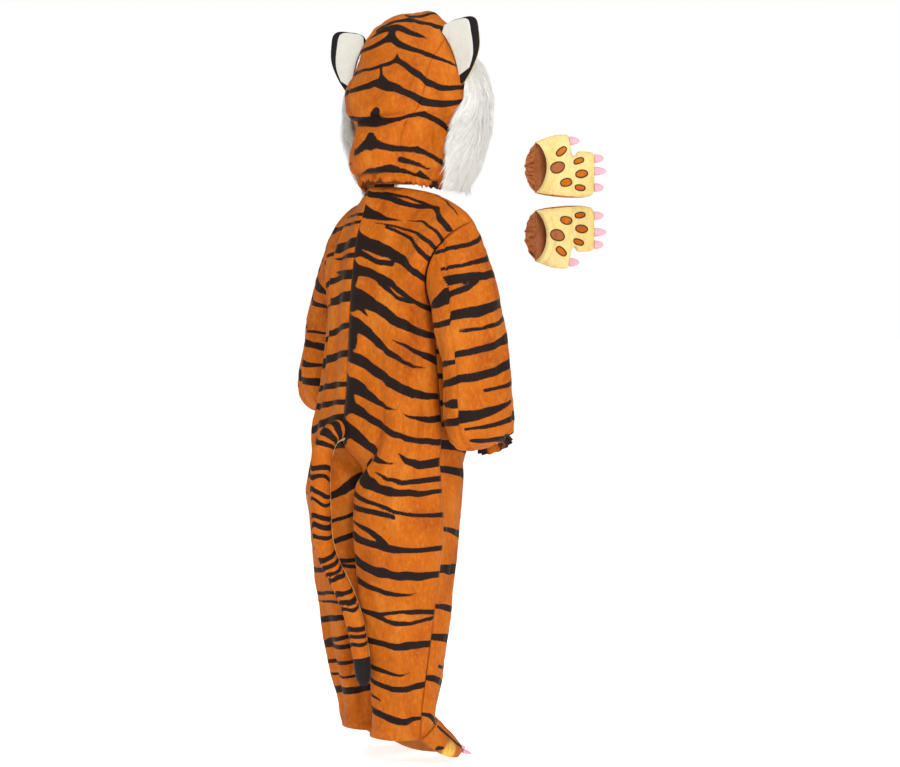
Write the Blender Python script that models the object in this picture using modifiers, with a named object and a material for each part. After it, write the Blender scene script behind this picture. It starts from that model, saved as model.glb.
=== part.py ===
# Tiger costume for a child of about 104 cm: hood, jumpsuit with tail and foot covers, and two paw gloves.
# It keeps the hollow form of a worn costume. The wearer faces -Y, the wearer's left is +X, and +Z is up.
# The origin is the middle of the neck opening, where the shoulders carry the suit. Units are metres.
import math

import bpy
import numpy as np
from mathutils import Matrix, Vector

LEFT = 1
RIGHT = -1
SIDE_NAMES = {LEFT: "left", RIGHT: "right"}

# Cloth
WALL = 0.0015
SEAM_GAP = 0.0005
LAID_ON_GAP = 0.0004
THIN_WALL = 0.0012
PATCH_WALL = 0.0010

# Heights of the suit
CHEST_Z = -0.172
HIP_Z = -0.350
CROTCH_Z = -0.432
HEM_Z = {LEFT: -0.773, RIGHT: -0.769}

# Colours of the plain model: linear red, green and blue
ORANGE = (0.62, 0.19, 0.02)
BLACK = (0.012, 0.010, 0.010)
WHITE = (0.80, 0.79, 0.75)
CREAM = (0.78, 0.62, 0.32)
PALE_YELLOW = (0.85, 0.66, 0.22)
PINK = (0.80, 0.33, 0.32)

# Trunk of the suit: z, half width, half depth, y of the middle, squareness, ridge at the centre back
TRUNK_ROWS = (
    (-0.390, 0.1180, 0.0830, 0.0300, 3.1, 0.003),
    (-0.340, 0.1190, 0.0815, 0.0295, 3.2, 0.004),
    (-0.297, 0.1130, 0.0765, 0.0290, 3.1, 0.004),
    (-0.240, 0.1060, 0.0710, 0.0290, 3.0, 0.005),
    (-0.172, 0.0990, 0.0675, 0.0280, 3.0, 0.006),
)
# Legs: z, half width, half depth, inner side from the middle plane, squareness, turn of the side seam
LEG_ROWS = (
    (-0.780, 0.0435, 0.0450, 0.0112, 2.5, 90.0),
    (-0.732, 0.0430, 0.0450, 0.0120, 2.5, 90.0),
    (-0.687, 0.0440, 0.0500, 0.0110, 2.5, 90.0),
    (-0.575, 0.0560, 0.0640, 0.0035, 2.5, 92.0),
    (-0.478, 0.0600, 0.0760, 0.0012, 2.5, 94.0),
    (-0.432, 0.0600, 0.0790, 0.0003, 2.6, 92.0),
    (-0.390, 0.0600, 0.0800, 0.0003, 2.6, 90.0),
    (-0.340, 0.0600, 0.0800, 0.0003, 2.6, 90.0),
)
# Middle of each leg: z, y on the left, y on the right
LEG_MIDDLES = (
    (-0.780, 0.0150, 0.0525),
    (-0.732, 0.0195, 0.0490),
    (-0.687, 0.0287, 0.0430),
    (-0.575, 0.0320, 0.0455),
    (-0.478, 0.0340, 0.0446),
    (-0.432, 0.0370, 0.0400),
    (-0.390, 0.0380, 0.0380),
    (-0.340, 0.0380, 0.0380),
)
# Half neckline from the centre back to the shoulder seam: share, x, y, z
NECK_BACK = (
    (0.00, 0.0000, 0.0660, 0.0025),
    (0.35, 0.0220, 0.0500, 0.0030),
    (0.70, 0.0440, 0.0300, 0.0010),
    (1.00, 0.0610, 0.0050, -0.0040),
)
# Half neckline from the centre front to the shoulder seam
NECK_FRONT = (
    (0.00, 0.0000, -0.0470, -0.0180),
    (0.35, 0.0270, -0.0430, -0.0155),
    (0.70, 0.0520, -0.0240, -0.0090),
    (1.00, 0.0610, 0.0050, -0.0040),
)
# Shoulder seam from the neck to the armhole
SHOULDER = (
    (0.00, 0.0610, 0.0050, -0.0040),
    (0.30, 0.0860, 0.0030, -0.0115),
    (0.57, 0.1090, 0.0015, -0.0205),
    (0.80, 0.1280, -0.0005, -0.0325),
    (1.00, 0.1420, -0.0020, -0.0480),
)
# Centre back and centre front lines of the yoke: share, y, z
CENTRE_BACK = (
    (0.00, 0.0660, 0.0025),
    (0.22, 0.0795, -0.0385),
    (0.38, 0.0885, -0.0640),
    (0.60, 0.0950, -0.1010),
    (0.80, 0.0995, -0.1387),
    (1.00, 0.1015, -0.1720),
)
CENTRE_FRONT = (
    (0.00, -0.0470, -0.0180),
    (0.30, -0.0480, -0.0600),
    (0.65, -0.0440, -0.1150),
    (1.00, -0.0395, -0.1720),
)
# Armholes from the shoulder seam to the underarm: share, x, y, z
ARMHOLE_BACK = (
    (0.00, 0.1420, -0.0020, -0.0480),
    (0.18, 0.1390, 0.0190, -0.0570),
    (0.36, 0.1310, 0.0370, -0.0720),
    (0.55, 0.1200, 0.0510, -0.0960),
    (0.73, 0.1090, 0.0530, -0.1260),
    (0.88, 0.1020, 0.0430, -0.1540),
    (1.00, 0.0990, 0.0280, -0.1720),
)
ARMHOLE_FRONT = (
    (0.00, 0.1420, -0.0020, -0.0480),
    (0.22, 0.1380, -0.0200, -0.0630),
    (0.45, 0.1270, -0.0310, -0.0900),
    (0.68, 0.1130, -0.0260, -0.1230),
    (0.86, 0.1030, -0.0010, -0.1560),
    (1.00, 0.0990, 0.0280, -0.1720),
)
# Share of a panel's top edge that is neckline, lift of the shoulders, cloth taken off at the seams
NECK_SHARE = 0.42
SHOULDER_LIFT = 0.007
SHOULDER_PULL = 0.0018
MOST_MITRE = 0.0014
PANEL_COLUMNS = 11
YOKE_ROWS = 6
PANEL_ROWS = 17
# Rings of a sleeve: x, y, z, half width, half depth, tilt in degrees that lifts the front, wave height
SLEEVE_ROWS = {
    RIGHT: (
        (0.1545, 0.0095, -0.200, 0.0440, 0.0515, 0.0, 0.0000),
        (0.1600, 0.0045, -0.250, 0.0440, 0.0505, 0.0, 0.0000),
        (0.1635, 0.0040, -0.295, 0.0450, 0.0520, 4.0, 0.0000),
        (0.1655, 0.0035, -0.325, 0.0465, 0.0520, 12.0, 0.0006),
        (0.1665, -0.0005, -0.344, 0.0420, 0.0460, 19.0, 0.0016),
        (0.1675, -0.0110, -0.350, 0.0330, 0.0355, 23.0, 0.0022),
        (0.1680, -0.0200, -0.351, 0.0235, 0.0240, 25.0, 0.0016),
    ),
    LEFT: (
        (0.1545, 0.0040, -0.195, 0.0440, 0.0500, 0.0, 0.0000),
        (0.1600, 0.0065, -0.235, 0.0440, 0.0500, 0.0, 0.0000),
        (0.1640, 0.0085, -0.265, 0.0450, 0.0500, 4.0, 0.0000),
        (0.1650, 0.0060, -0.287, 0.0455, 0.0490, 14.0, 0.0006),
        (0.1650, 0.0000, -0.301, 0.0410, 0.0430, 22.0, 0.0016),
        (0.1650, -0.0100, -0.307, 0.0330, 0.0340, 26.0, 0.0022),
        (0.1650, -0.0190, -0.308, 0.0235, 0.0240, 28.0, 0.0016),
    ),
}
SLEEVE_WAVES = 8
SLEEVE_COLUMNS = 32
CAP_ROWS = 4
CAP_SWELL = 0.006
ARMHOLE_STEP = 0.0012
CUFF_WAVES = 12
CUFF_LENGTH = 0.009
CUFF_FLARE = 0.0022
CUFF_INSET = 0.0005

# Neck tab: its part of the half neckline, rise over the edge, drop, lean of its foot, way in
TAB_START = 0.10
TAB_END = 0.46
TAB_RISE = 0.0035
TAB_DROP = 0.020
TAB_LEAN = 0.0045
TAB_CLEAR = 0.0006
TAB_INWARDS = Vector((0.55, -0.83, 0.0))

# Vertical soft folds of the trunk and legs: share across the back panel, top z, bottom z, depth, half width
BACK_FOLDS = (
    (0.30, -0.16, -0.75, 0.0030, 0.085),
    (0.62, -0.20, -0.70, 0.0035, 0.090),
    (0.84, -0.12, -0.50, 0.0040, 0.070),
)
FRONT_FOLDS = (
    (0.35, -0.20, -0.72, 0.0030, 0.090),
    (0.70, -0.14, -0.60, 0.0035, 0.090),
)

# Tail: x, y, z of the middle line and its radius. The black tip starts at a row of its own.
TAIL_ROWS = (
    (0.000, 0.1160, -0.3390, 0.0150),
    (0.000, 0.1255, -0.3405, 0.0150),
    (0.003, 0.1370, -0.3500, 0.0148),
    (0.008, 0.1430, -0.3720, 0.0146),
    (0.012, 0.1440, -0.4050, 0.0144),
    (0.013, 0.1420, -0.4450, 0.0143),
    (0.011, 0.1400, -0.4900, 0.0140),
    (0.001, 0.1350, -0.5250, 0.0136),
    (-0.021, 0.1280, -0.5620, 0.0132),
    (-0.036, 0.1220, -0.6000, 0.0128),
    (-0.042, 0.1175, -0.6350, 0.0124),
    (-0.044, 0.1150, -0.6540, 0.0120),
    (-0.045, 0.1135, -0.6700, 0.0116),
    (-0.045, 0.1125, -0.6840, 0.0098),
    (-0.044, 0.1120, -0.6930, 0.0058),
)
TAIL_TIP_ROW = 11
TAIL_UNDER_HALF_ANGLE = 48.0
TAIL_SIDES = 12
TAIL_TIP_GAP = 0.03

# Hood, in its own frame before it is turned
HOOD_TURN = 20.0
HEAD_MIDDLE_Y = -0.018
HEAD_MIDDLE_Z = 0.125
HEAD_HALF_WIDTH = 0.093
HEAD_ROUNDNESS = 2.1
HOOD_INSIDE = (0.0, -0.018, 0.095)
FACE_TAPER = 0.010
# Outline of the hood above its middle, seen from the side: turn from straight up towards the back, radius
HOOD_OUTLINE = (
    (-75.0, 0.0980),
    (-52.0, 0.1010),
    (-32.0, 0.1130),
    (-7.0, 0.1330),
    (10.0, 0.1230),
    (27.0, 0.1055),
    (42.0, 0.0905),
    (64.0, 0.0890),
    (80.0, 0.0950),
    (90.0, 0.0985),
)
# Lower back of the hood: z, half width, y of the back
HOOD_LOWER = (
    (-0.010, 0.0560, 0.0680),
    (0.010, 0.0640, 0.0745),
    (0.034, 0.0750, 0.0900),
    (0.052, 0.0720, 0.0925),
    (0.075, 0.0700, 0.0885),
    (0.094, 0.0770, 0.0780),
    (0.108, 0.0895, 0.0795),
    (0.125, 0.0930, 0.0805),
)
# Half width of the hood below its middle, beside the face: z, half width
HOOD_LOWER_FRONT = (
    (-0.010, 0.0640),
    (0.030, 0.0720),
    (0.080, 0.0820),
    (0.125, 0.0930),
)
HOOD_PINCH_Y = 0.030
HOOD_PINCH_BLEND = 0.05
# Seam between the middle strip and the side of the hood: share, y, z, from the brow to the nape
HOOD_SEAM = (
    (0.00, -0.0860, 0.1850),
    (0.16, -0.0620, 0.2150),
    (0.32, -0.0270, 0.2260),
    (0.48, 0.0100, 0.2030),
    (0.62, 0.0360, 0.1680),
    (0.74, 0.0560, 0.1300),
    (0.84, 0.0640, 0.0960),
    (0.92, 0.0760, 0.0620),
    (1.00, 0.0680, 0.0195),
)
HOOD_SEAM_CORNER = 0.55
HOOD_STRIP_ROUND = 0.55
HOOD_FACE_FULLNESS = 0.45
HOOD_TOP_COLUMNS = 10
HOOD_BACK_ROWS = 13
# Front edge of the side of the hood, from the brow down to the chin: share, y, z
HOOD_FACE_EDGE = (
    (0.00, -0.0860, 0.1850),
    (0.30, -0.0900, 0.1400),
    (0.65, -0.0850, 0.0700),
    (1.00, -0.0800, 0.0120),
)
# Lower edge of the side of the hood, from the nape seam to the chin: share, y, z
HOOD_NECK_EDGE = (
    (0.00, 0.0680, 0.0195),
    (0.40, 0.0230, 0.0100),
    (0.70, -0.0250, 0.0095),
    (1.00, -0.0800, 0.0120),
)
CASING_WAVES = 16
CASING_HEIGHT = 0.0085
CASING_NAPE_SHARE = 0.30
CASING_SIDE_REACH = 0.72
CASING_INSET = 0.0012
CASING_DRAW = 0.0030
CASING_WAVE = 0.0013
CASING_STEP = 0.0002

# Cheek ruff: z, y of the back edge, y of the front edge, thickness of the pile
RUFF_ROWS = (
    (-0.002, 0.0000, -0.0600, 0.0080),
    (0.020, 0.0010, -0.0760, 0.0240),
    (0.050, 0.0030, -0.0840, 0.0300),
    (0.080, 0.0010, -0.0860, 0.0350),
    (0.105, -0.0030, -0.0880, 0.0300),
    (0.130, -0.0040, -0.0900, 0.0290),
    (0.155, -0.0090, -0.0900, 0.0270),
    (0.180, -0.0220, -0.0860, 0.0220),
    (0.196, -0.0400, -0.0800, 0.0080),
)
RUFF_GAP = 0.0022
RUFF_EDGE = 0.10
RUFF_ROUND = 0.55
CHIN_TOP = 0.88
CHIN_REACH = 0.016

# Ear outline from the inner root over the tip to the outer root: x, z
EAR_OUTLINE = (
    (0.0550, 0.2250),
    (0.0740, 0.2350),
    (0.0935, 0.2390),
    (0.1090, 0.2405),
    (0.1180, 0.2360),
    (0.1212, 0.2260),
    (0.1230, 0.2060),
    (0.1205, 0.1900),
    (0.1090, 0.1665),
    (0.0945, 0.1480),
)
EAR_Y = 0.0000
EAR_CUP = 0.010
EAR_ROOT_GAP = 0.0003
EAR_TOP_GAP = 0.0012
EAR_DROP = {LEFT: -0.010, RIGHT: 0.0}
EAR_LIFT = 0.01
BORDER_START = 0.22
BORDER_EASE = 0.30
# Layers of an ear: name, first and last place along the outline, reach to the edge, border that is left free
# at its outer and lower edge, place ahead of the back, wall, colour
EAR_LAYERS = (
    ("ear_back_", 0.0, 1.0, 1.0, 0.0, 0.0, WALL, BLACK),
    ("ear_patch_", 0.06, 0.86, 0.96, 0.22, -0.0015, PATCH_WALL, WHITE),
    ("ear_front_", 0.0, 1.0, 0.985, 0.0, 0.0021, WALL, PALE_YELLOW),
)

MUZZLE_SIDES = 18
# Padded muzzle over the brow: y, z, half width, half height of its rings from back to front
MUZZLE_ROWS = (
    (-0.0995, 0.1744, 0.0560, 0.0172),
    (-0.1100, 0.1625, 0.0680, 0.0215),
    (-0.1260, 0.1530, 0.0690, 0.0245),
    (-0.1430, 0.1480, 0.0590, 0.0225),
    (-0.1570, 0.1440, 0.0400, 0.0170),
    (-0.1630, 0.1425, 0.0200, 0.0090),
)

# Foot cover, from the hem's front: share, half width, y and z of the side edge, y and z of the crown
FOOT_ROWS = (
    (0.00, 0.0455, 0.0450, 0.0000, -0.0023, 0.0260),
    (0.25, 0.0445, 0.0250, -0.0150, -0.0140, 0.0165),
    (0.50, 0.0405, 0.0020, -0.0270, -0.0290, 0.0040),
    (0.75, 0.0330, -0.0210, -0.0340, -0.0450, -0.0115),
    (0.92, 0.0240, -0.0390, -0.0365, -0.0550, -0.0215),
    (1.00, 0.0170, -0.0470, -0.0370, -0.0590, -0.0260),
)
FOOT_CLAW_PLACES = (30.0, 90.0, 150.0)
FOOT_CLAW_SEAT = 0.0006
CLAW_LENGTH = 0.014
CLAW_RADIUS = 0.0045
CLAW_SIDES = 6
CLAW_RINGS = ((0.0, 1.0), (0.45, 0.92), (0.8, 0.62), (1.0, 0.22))

# Glove, flat: along the hand from the wrist, both edges of the palm, puffing. The thumb is on the upper edge.
GLOVE_ROWS = (
    (0.0000, -0.0320, 0.0400, 0.0070),
    (0.0120, -0.0350, 0.0450, 0.0095),
    (0.0240, -0.0368, 0.0490, 0.0110),
    (0.0360, -0.0380, 0.0508, 0.0115),
    (0.0450, -0.0388, 0.0500, 0.0110),
    (0.0480, -0.0388, 0.0480, 0.0100),
    (0.0510, -0.0388, 0.0290, 0.0100),
    (0.0620, -0.0388, 0.0270, 0.0100),
    (0.0740, -0.0375, 0.0265, 0.0085),
    (0.0810, -0.0345, 0.0250, 0.0055),
    (0.0845, -0.0295, 0.0215, 0.0020),
)
GLOVE_WRIST_DIP = 0.016
GLOVE_WRIST_ROUND = 0.8
GLOVE_PUFF_ROUND = 0.6
GLOVE_LINING_REACH = 0.016
GLOVE_LINING_SIDES = 0.55
GLOVE_LINING_DRAW = 0.25
GLOVE_LINING_RISE = 0.004
GLOVE_LINING_WAVE = 0.001
GLOVE_WAVES = 9
GLOVE_EDGE = 0.0015
# Claws of a glove: place along the hand, across it, length
GLOVE_CLAWS = (
    (0.0849, -0.0245, 0.0130),
    (0.0849, -0.0010, 0.0170),
    (0.0849, 0.0170, 0.0130),
    (0.0503, 0.0420, 0.0140),
)
GLOVE_CLAW_RADIUS = 0.0062
GLOVE_PLACES = {LEFT: (0.1850, 0.0280, 1), RIGHT: (0.1850, -0.0610, -1)}
VIEW_RIGHT = Vector((-0.643, -0.766, 0.0))
VIEW_TOWARDS = Vector((-0.766, 0.643, 0.0))


# Empty the scene and make the collection for the costume
for old in list(bpy.data.objects):
    bpy.data.objects.remove(old, do_unlink=True)
costume = bpy.data.collections.new("tiger_costume")
bpy.context.scene.collection.children.link(costume)


def follow(table, at):
    """Read a table at a key in its first column, on a smooth curve through its rows."""
    rows = np.array(table, dtype=float)
    rows = rows[np.argsort(rows[:, 0])]
    keys = rows[:, 0]
    values = rows[:, 1:]
    slopes = np.gradient(values, keys, axis=0)
    at = float(np.clip(at, keys[0], keys[-1]))
    low = int(np.clip(np.searchsorted(keys, at) - 1, 0, len(keys) - 2))
    span = keys[low + 1] - keys[low]
    t = (at - keys[low]) / span
    start = (1 + 2 * t) * (1 - t) ** 2 * values[low] + t * (1 - t) ** 2 * span * slopes[low]
    end = t * t * (3 - 2 * t) * values[low + 1] + t * t * (t - 1) * span * slopes[low + 1]
    return start + end


def ease(t):
    """Go from 0 to 1 with a soft start and end."""
    t = min(max(t, 0.0), 1.0)
    return t * t * (3 - 2 * t)


def power(value, exponent):
    """Raise a number to an exponent and keep its sign."""
    return math.copysign(abs(value) ** exponent, value)


def shares(count):
    """Evenly spaced numbers from 0 to 1, both included."""
    return [index / (count - 1) for index in range(count)]


def material(name, colour, roughness):
    finish = bpy.data.materials.new(name)
    finish.use_nodes = True
    shader = finish.node_tree.nodes["Principled BSDF"]
    shader.inputs["Base Color"].default_value = (*colour, 1.0)
    shader.inputs["Roughness"].default_value = roughness
    shader.inputs["Metallic"].default_value = 0.0
    return finish


def add_object(name, mesh, colour, roughness=0.85):
    """Put a mesh in the costume's collection under its own material."""
    piece = bpy.data.objects.new(name, mesh)
    piece.data.materials.append(material(name + "_finish", colour, roughness))
    costume.objects.link(piece)
    mesh.shade_smooth()
    return piece


def pull_in_edges(grid, rows, columns, gap=SEAM_GAP / 2):
    """Move the first and last rows or columns of a grid inwards, to leave room at the seams."""
    points = np.array(grid, dtype=float)
    if columns:
        for edge, beside in ((0, 1), (-1, -2)):
            step = points[:, beside] - points[:, edge]
            length = np.linalg.norm(step, axis=1, keepdims=True)
            points[:, edge] += step / np.maximum(length, 1e-9) * gap
    if rows:
        for edge, beside in ((0, 1), (-1, -2)):
            step = points[beside] - points[edge]
            length = np.linalg.norm(step, axis=1, keepdims=True)
            points[edge] += step / np.maximum(length, 1e-9) * gap
    return points


def grid_mesh(name, points, closed):
    """A mesh through a grid of points. A closed grid joins its last column to its first."""
    row_count, column_count = points.shape[:2]
    faces = []
    for row in range(row_count - 1):
        for column in range(column_count if closed else column_count - 1):
            after = (column + 1) % column_count
            faces.append((
                row * column_count + column,
                row * column_count + after,
                (row + 1) * column_count + after,
                (row + 1) * column_count + column,
            ))
    mesh = bpy.data.meshes.new(name)
    mesh.from_pydata([tuple(point) for point in points.reshape(-1, 3)], [], faces)
    mesh.update()
    return mesh


def faces_out(mesh, inside):
    """Tell whether most faces of an open sheet look away from a point."""
    total = 0.0
    for face in mesh.polygons:
        total += face.area * face.normal.dot(face.center - Vector(inside))
    return total > 0


def cloth(name, grid, inside, colour, closed=False, wall=WALL):
    """A sheet of cloth through a grid of points, with its thickness towards the inside."""
    mesh = grid_mesh(name, np.array(grid, dtype=float), closed)
    if not faces_out(mesh, inside):
        mesh.flip_normals()
    piece = add_object(name, mesh, colour)
    thick = piece.modifiers.new("Thickness", "SOLIDIFY")
    thick.thickness = wall
    thick.offset = -1.0
    thick.use_even_offset = False
    return piece


def solid_rings(name, rings, colour, roughness=0.85):
    """A closed form through rings of points, with a fan over each end."""
    points = np.array(rings, dtype=float)
    row_count, column_count = points.shape[:2]
    mesh = grid_mesh(name, points, True)
    vertices = [tuple(vertex.co) for vertex in mesh.vertices]
    faces = [tuple(face.vertices) for face in mesh.polygons]
    first_middle = len(vertices)
    vertices.append(tuple(points[0].mean(axis=0)))
    vertices.append(tuple(points[-1].mean(axis=0)))
    last_row = (row_count - 1) * column_count
    for column in range(column_count):
        after = (column + 1) % column_count
        faces.append((first_middle, after, column))
        faces.append((first_middle + 1, last_row + column, last_row + after))
    mesh.clear_geometry()
    mesh.from_pydata(vertices, [], faces)
    mesh.update()
    if not faces_out(mesh, points.reshape(-1, 3).mean(axis=0)):
        mesh.flip_normals()
    return add_object(name, mesh, colour, roughness)


def padded(name, under, over, colour):
    """A closed pad between two grids that have the same rows and columns."""
    rings = []
    for low, high in zip(np.array(under), np.array(over)):
        rings.append(np.concatenate([low, high[::-1]]))
    rings = np.array(rings)
    row_count, column_count = rings.shape[:2]
    half = column_count // 2
    mesh = grid_mesh(name, rings, True)
    vertices = [tuple(vertex.co) for vertex in mesh.vertices]
    faces = [tuple(face.vertices) for face in mesh.polygons]
    for row, turned in ((0, False), (row_count - 1, True)):
        for column in range(half - 1):
            corner = row * column_count
            face = (
                corner + column,
                corner + column_count - 1 - column,
                corner + column_count - 2 - column,
                corner + column + 1,
            )
            faces.append(face[::-1] if turned else face)
    mesh.clear_geometry()
    mesh.from_pydata(vertices, [], faces)
    mesh.update()
    if signed_volume(mesh) < 0:
        mesh.flip_normals()
    return add_object(name, mesh, colour)


def signed_volume(mesh):
    total = 0.0
    for face in mesh.polygons:
        first = mesh.vertices[face.vertices[0]].co
        for second, third in zip(face.vertices[1:-1], face.vertices[2:]):
            total += first.dot(mesh.vertices[second].co.cross(mesh.vertices[third].co))
    return total / 6


# The suit's surface
def trunk_point(turn, z):
    """A point of the left half of the trunk. The turn goes from 0 at the centre back to 180 at the front."""
    half_width, half_depth, middle, square, ridge = follow(TRUNK_ROWS, z)
    angle = math.radians(turn)
    across = power(math.sin(angle), 2 / square)
    along = power(math.cos(angle), 2 / square)
    y = middle + half_depth * along
    if along > 0:
        y += ridge * (1 - across) ** 1.5
    return half_width * across, y


def leg_point(side, turn, z):
    """A point of a leg. The turn goes once round the leg, from the inner seam over the back."""
    half_width, half_depth, inner, square = follow(LEG_ROWS, z)[:4]
    middle = follow(LEG_MIDDLES, z)[0 if side == LEFT else 1]
    angle = math.radians(2 * turn)
    x = inner + half_width * (1 - power(math.cos(angle), 2 / square))
    y = middle + half_depth * power(math.sin(angle), 2 / square)
    return x, y


def suit_point(side, turn, z):
    """A point of the suit below the chest. The trunk passes into the legs between hip and crotch."""
    share = ease((HIP_Z - z) / (HIP_Z - CROTCH_Z))
    trunk = trunk_point(turn, max(z, TRUNK_ROWS[0][0]))
    leg = leg_point(side, turn, min(z, LEG_ROWS[-1][0]))
    x = (1 - share) * trunk[0] + share * leg[0]
    y = (1 - share) * trunk[1] + share * leg[1]
    return Vector((side * x, y, z))


def fold_depth(folds, share, z):
    """How far the soft vertical folds draw the cloth in."""
    depth = 0.0
    for place, top, bottom, deep, half_width in folds:
        if bottom < z < top:
            fade = math.sin(math.pi * (z - bottom) / (top - bottom)) ** 0.5
            depth += deep * fade * math.exp(-((share - place) / half_width) ** 2)
    return depth


def side_turn(z):
    """Where the side seam runs, in degrees round from the centre back."""
    return float(follow(LEG_ROWS, min(z, LEG_ROWS[-1][0]))[4]) if z < LEG_ROWS[-1][0] else 90.0


def panel_point(side, front, share, z):
    """A point of a front or back panel, by its share of the way from the middle line to the side seam."""
    seam = side_turn(z)
    turn = 180 - share * (180 - seam) if front else share * seam
    point = suit_point(side, turn, z)
    middle = suit_point(side, 90, z)
    middle.x *= 0.5
    inwards = Vector((middle.x - point.x, middle.y - point.y, 0)).normalized()
    return point + inwards * fold_depth(FRONT_FOLDS if front else BACK_FOLDS, share, z)


def yoke_point(side, front, share, down):
    """A point of the panel above the chest, between neck, shoulder, armhole and centre line."""
    neck = NECK_FRONT if front else NECK_BACK
    centre = CENTRE_FRONT if front else CENTRE_BACK
    armhole = ARMHOLE_FRONT if front else ARMHOLE_BACK

    def top(at):
        if at < NECK_SHARE:
            return Vector(follow(neck, at / NECK_SHARE))
        return Vector(follow(SHOULDER, (at - NECK_SHARE) / (1 - NECK_SHARE)))

    def bottom(at):
        return panel_point(LEFT, front, at, CHEST_Z)

    def middle(at):
        y, z = follow(centre, at)
        return Vector((0.0, y, z))

    def edge(at):
        return Vector(follow(armhole, at))

    point = top(share) * (1 - down) + bottom(share) * down
    point += middle(down) * (1 - share) + edge(down) * share
    point -= top(0) * (1 - share) * (1 - down) + top(1) * share * (1 - down)
    point -= bottom(0) * (1 - share) * down + bottom(1) * share * down
    point.z += SHOULDER_LIFT * math.sin(math.pi * share) ** 0.6 * math.sin(math.pi * down ** 0.6)
    point.x *= side
    return point


def suit_panel(side, front):
    """Front or back of one half of the suit, trunk and leg in one piece."""
    grid = []
    for down in shares(YOKE_ROWS)[:-1]:
        grid.append([yoke_point(side, front, share, down) for share in shares(PANEL_COLUMNS)])
    for down in shares(PANEL_ROWS):
        z = CHEST_Z + (HEM_Z[side] - CHEST_Z) * down
        grid.append([panel_point(side, front, share, z) for share in shares(PANEL_COLUMNS)])
    grid = pull_in_edges(grid, False, True)
    step = grid[1] - grid[0]
    grid[0] += step / np.linalg.norm(step, axis=1, keepdims=True) * SHOULDER_PULL
    for row in grid:
        step = row[1] - row[0]
        lean = step[1] if front else -step[1]
        slope = max(lean, 0.0) / max(abs(step[0]), 1e-6)
        row[0] += step / np.linalg.norm(step) * min(WALL * slope, MOST_MITRE)
    name = ("front_" if front else "back_") + SIDE_NAMES[side]
    cloth(name, grid, (side * 0.05, 0.03, -0.3), ORANGE)


for side in (LEFT, RIGHT):
    for front in (False, True):
        suit_panel(side, front)


# Sleeves and cuffs
def armhole_point(side, round_share):
    """A point of the armhole, from the shoulder over the back, the underarm and the front."""
    if round_share <= 0.5:
        point = Vector(follow(ARMHOLE_BACK, 2 * round_share))
    else:
        point = Vector(follow(ARMHOLE_FRONT, 2 * (1 - round_share)))
    point.x *= side
    return point


def sleeve_ring_point(side, row, round_share, waves):
    x, y, z, half_width, half_depth, tilt, wave = row
    angle = 2 * math.pi * round_share
    swell = wave * math.cos(waves * angle)
    out = (half_width + swell) * math.cos(angle)
    back = (half_depth + swell) * math.sin(angle)
    lift = math.radians(tilt)
    return Vector((
        side * (x + out),
        y + back * math.cos(lift),
        z - back * math.sin(lift),
    ))


def sleeve_point(side, round_share, down):
    """A point of a sleeve. Down is 0 at the armhole, 1 at the first full ring, then one more a ring."""
    rows = SLEEVE_ROWS[side]
    if down >= 1:
        row = follow([(index, *values) for index, values in enumerate(rows)], down - 1)
        return sleeve_ring_point(side, row, round_share, SLEEVE_WAVES)
    start = armhole_point(side, round_share)
    outwards = Vector((side, 0, -0.35)).normalized()
    start += outwards * ARMHOLE_STEP
    end = sleeve_ring_point(side, rows[0], round_share, SLEEVE_WAVES)
    crown = 0.5 + 0.5 * math.cos(2 * math.pi * round_share)
    swell = Vector((side * CAP_SWELL, 0, CAP_SWELL)) * crown * 4 * down * (1 - down)
    return start.lerp(end, down) + swell


def sleeve(side):
    grid = []
    steps = [index / CAP_ROWS for index in range(CAP_ROWS)]
    steps += [1 + index for index in range(len(SLEEVE_ROWS[side]))]
    for down in steps:
        grid.append([sleeve_point(side, column / SLEEVE_COLUMNS, down) for column in range(SLEEVE_COLUMNS)])
    cloth("sleeve_" + SIDE_NAMES[side], grid, (side * 0.16, 0.005, -0.25), ORANGE, closed=True)


def cuff(side):
    """The elastic hem of the sleeve with its short ruffle."""
    x, y, z, half_width, half_depth, tilt = SLEEVE_ROWS[side][-1][:6]
    lift = math.radians(tilt)
    axis = Vector((0, -math.sin(lift), -math.cos(lift)))
    columns = CUFF_WAVES * 4
    grid = []
    for down in (0.0, 1.0):
        middle = Vector((x, y, z)) + axis * (SEAM_GAP + CUFF_LENGTH * down)
        flare = CUFF_FLARE * down - CUFF_INSET
        wave = 0.0006 + 0.0012 * down
        row = (*middle, half_width + flare, half_depth + flare, tilt, wave)
        grid.append([sleeve_ring_point(side, row, column / columns, CUFF_WAVES) for column in range(columns)])
    inside = Vector((side * x, y, z)) + axis * CUFF_LENGTH / 2
    cloth("cuff_" + SIDE_NAMES[side], grid, inside, ORANGE, closed=True)


for side in (LEFT, RIGHT):
    sleeve(side)
    cuff(side)


# Fastening tab that shows at the top of the centre back, under the right panel's edge
def neck_tab():
    grid = []
    for down in shares(3):
        row = []
        for share in shares(5):
            point = Vector(follow(NECK_BACK, TAB_START + (TAB_END - TAB_START) * share))
            point.x *= RIGHT
            point += TAB_INWARDS * (WALL + LAID_ON_GAP + TAB_CLEAR)
            point.z += TAB_RISE - TAB_DROP * down
            point.y += TAB_LEAN * down
            row.append(point)
        grid.append(row)
    cloth("neck_tab", grid, (0.0, 0.0, -0.02), BLACK, wall=THIN_WALL)


neck_tab()


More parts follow.
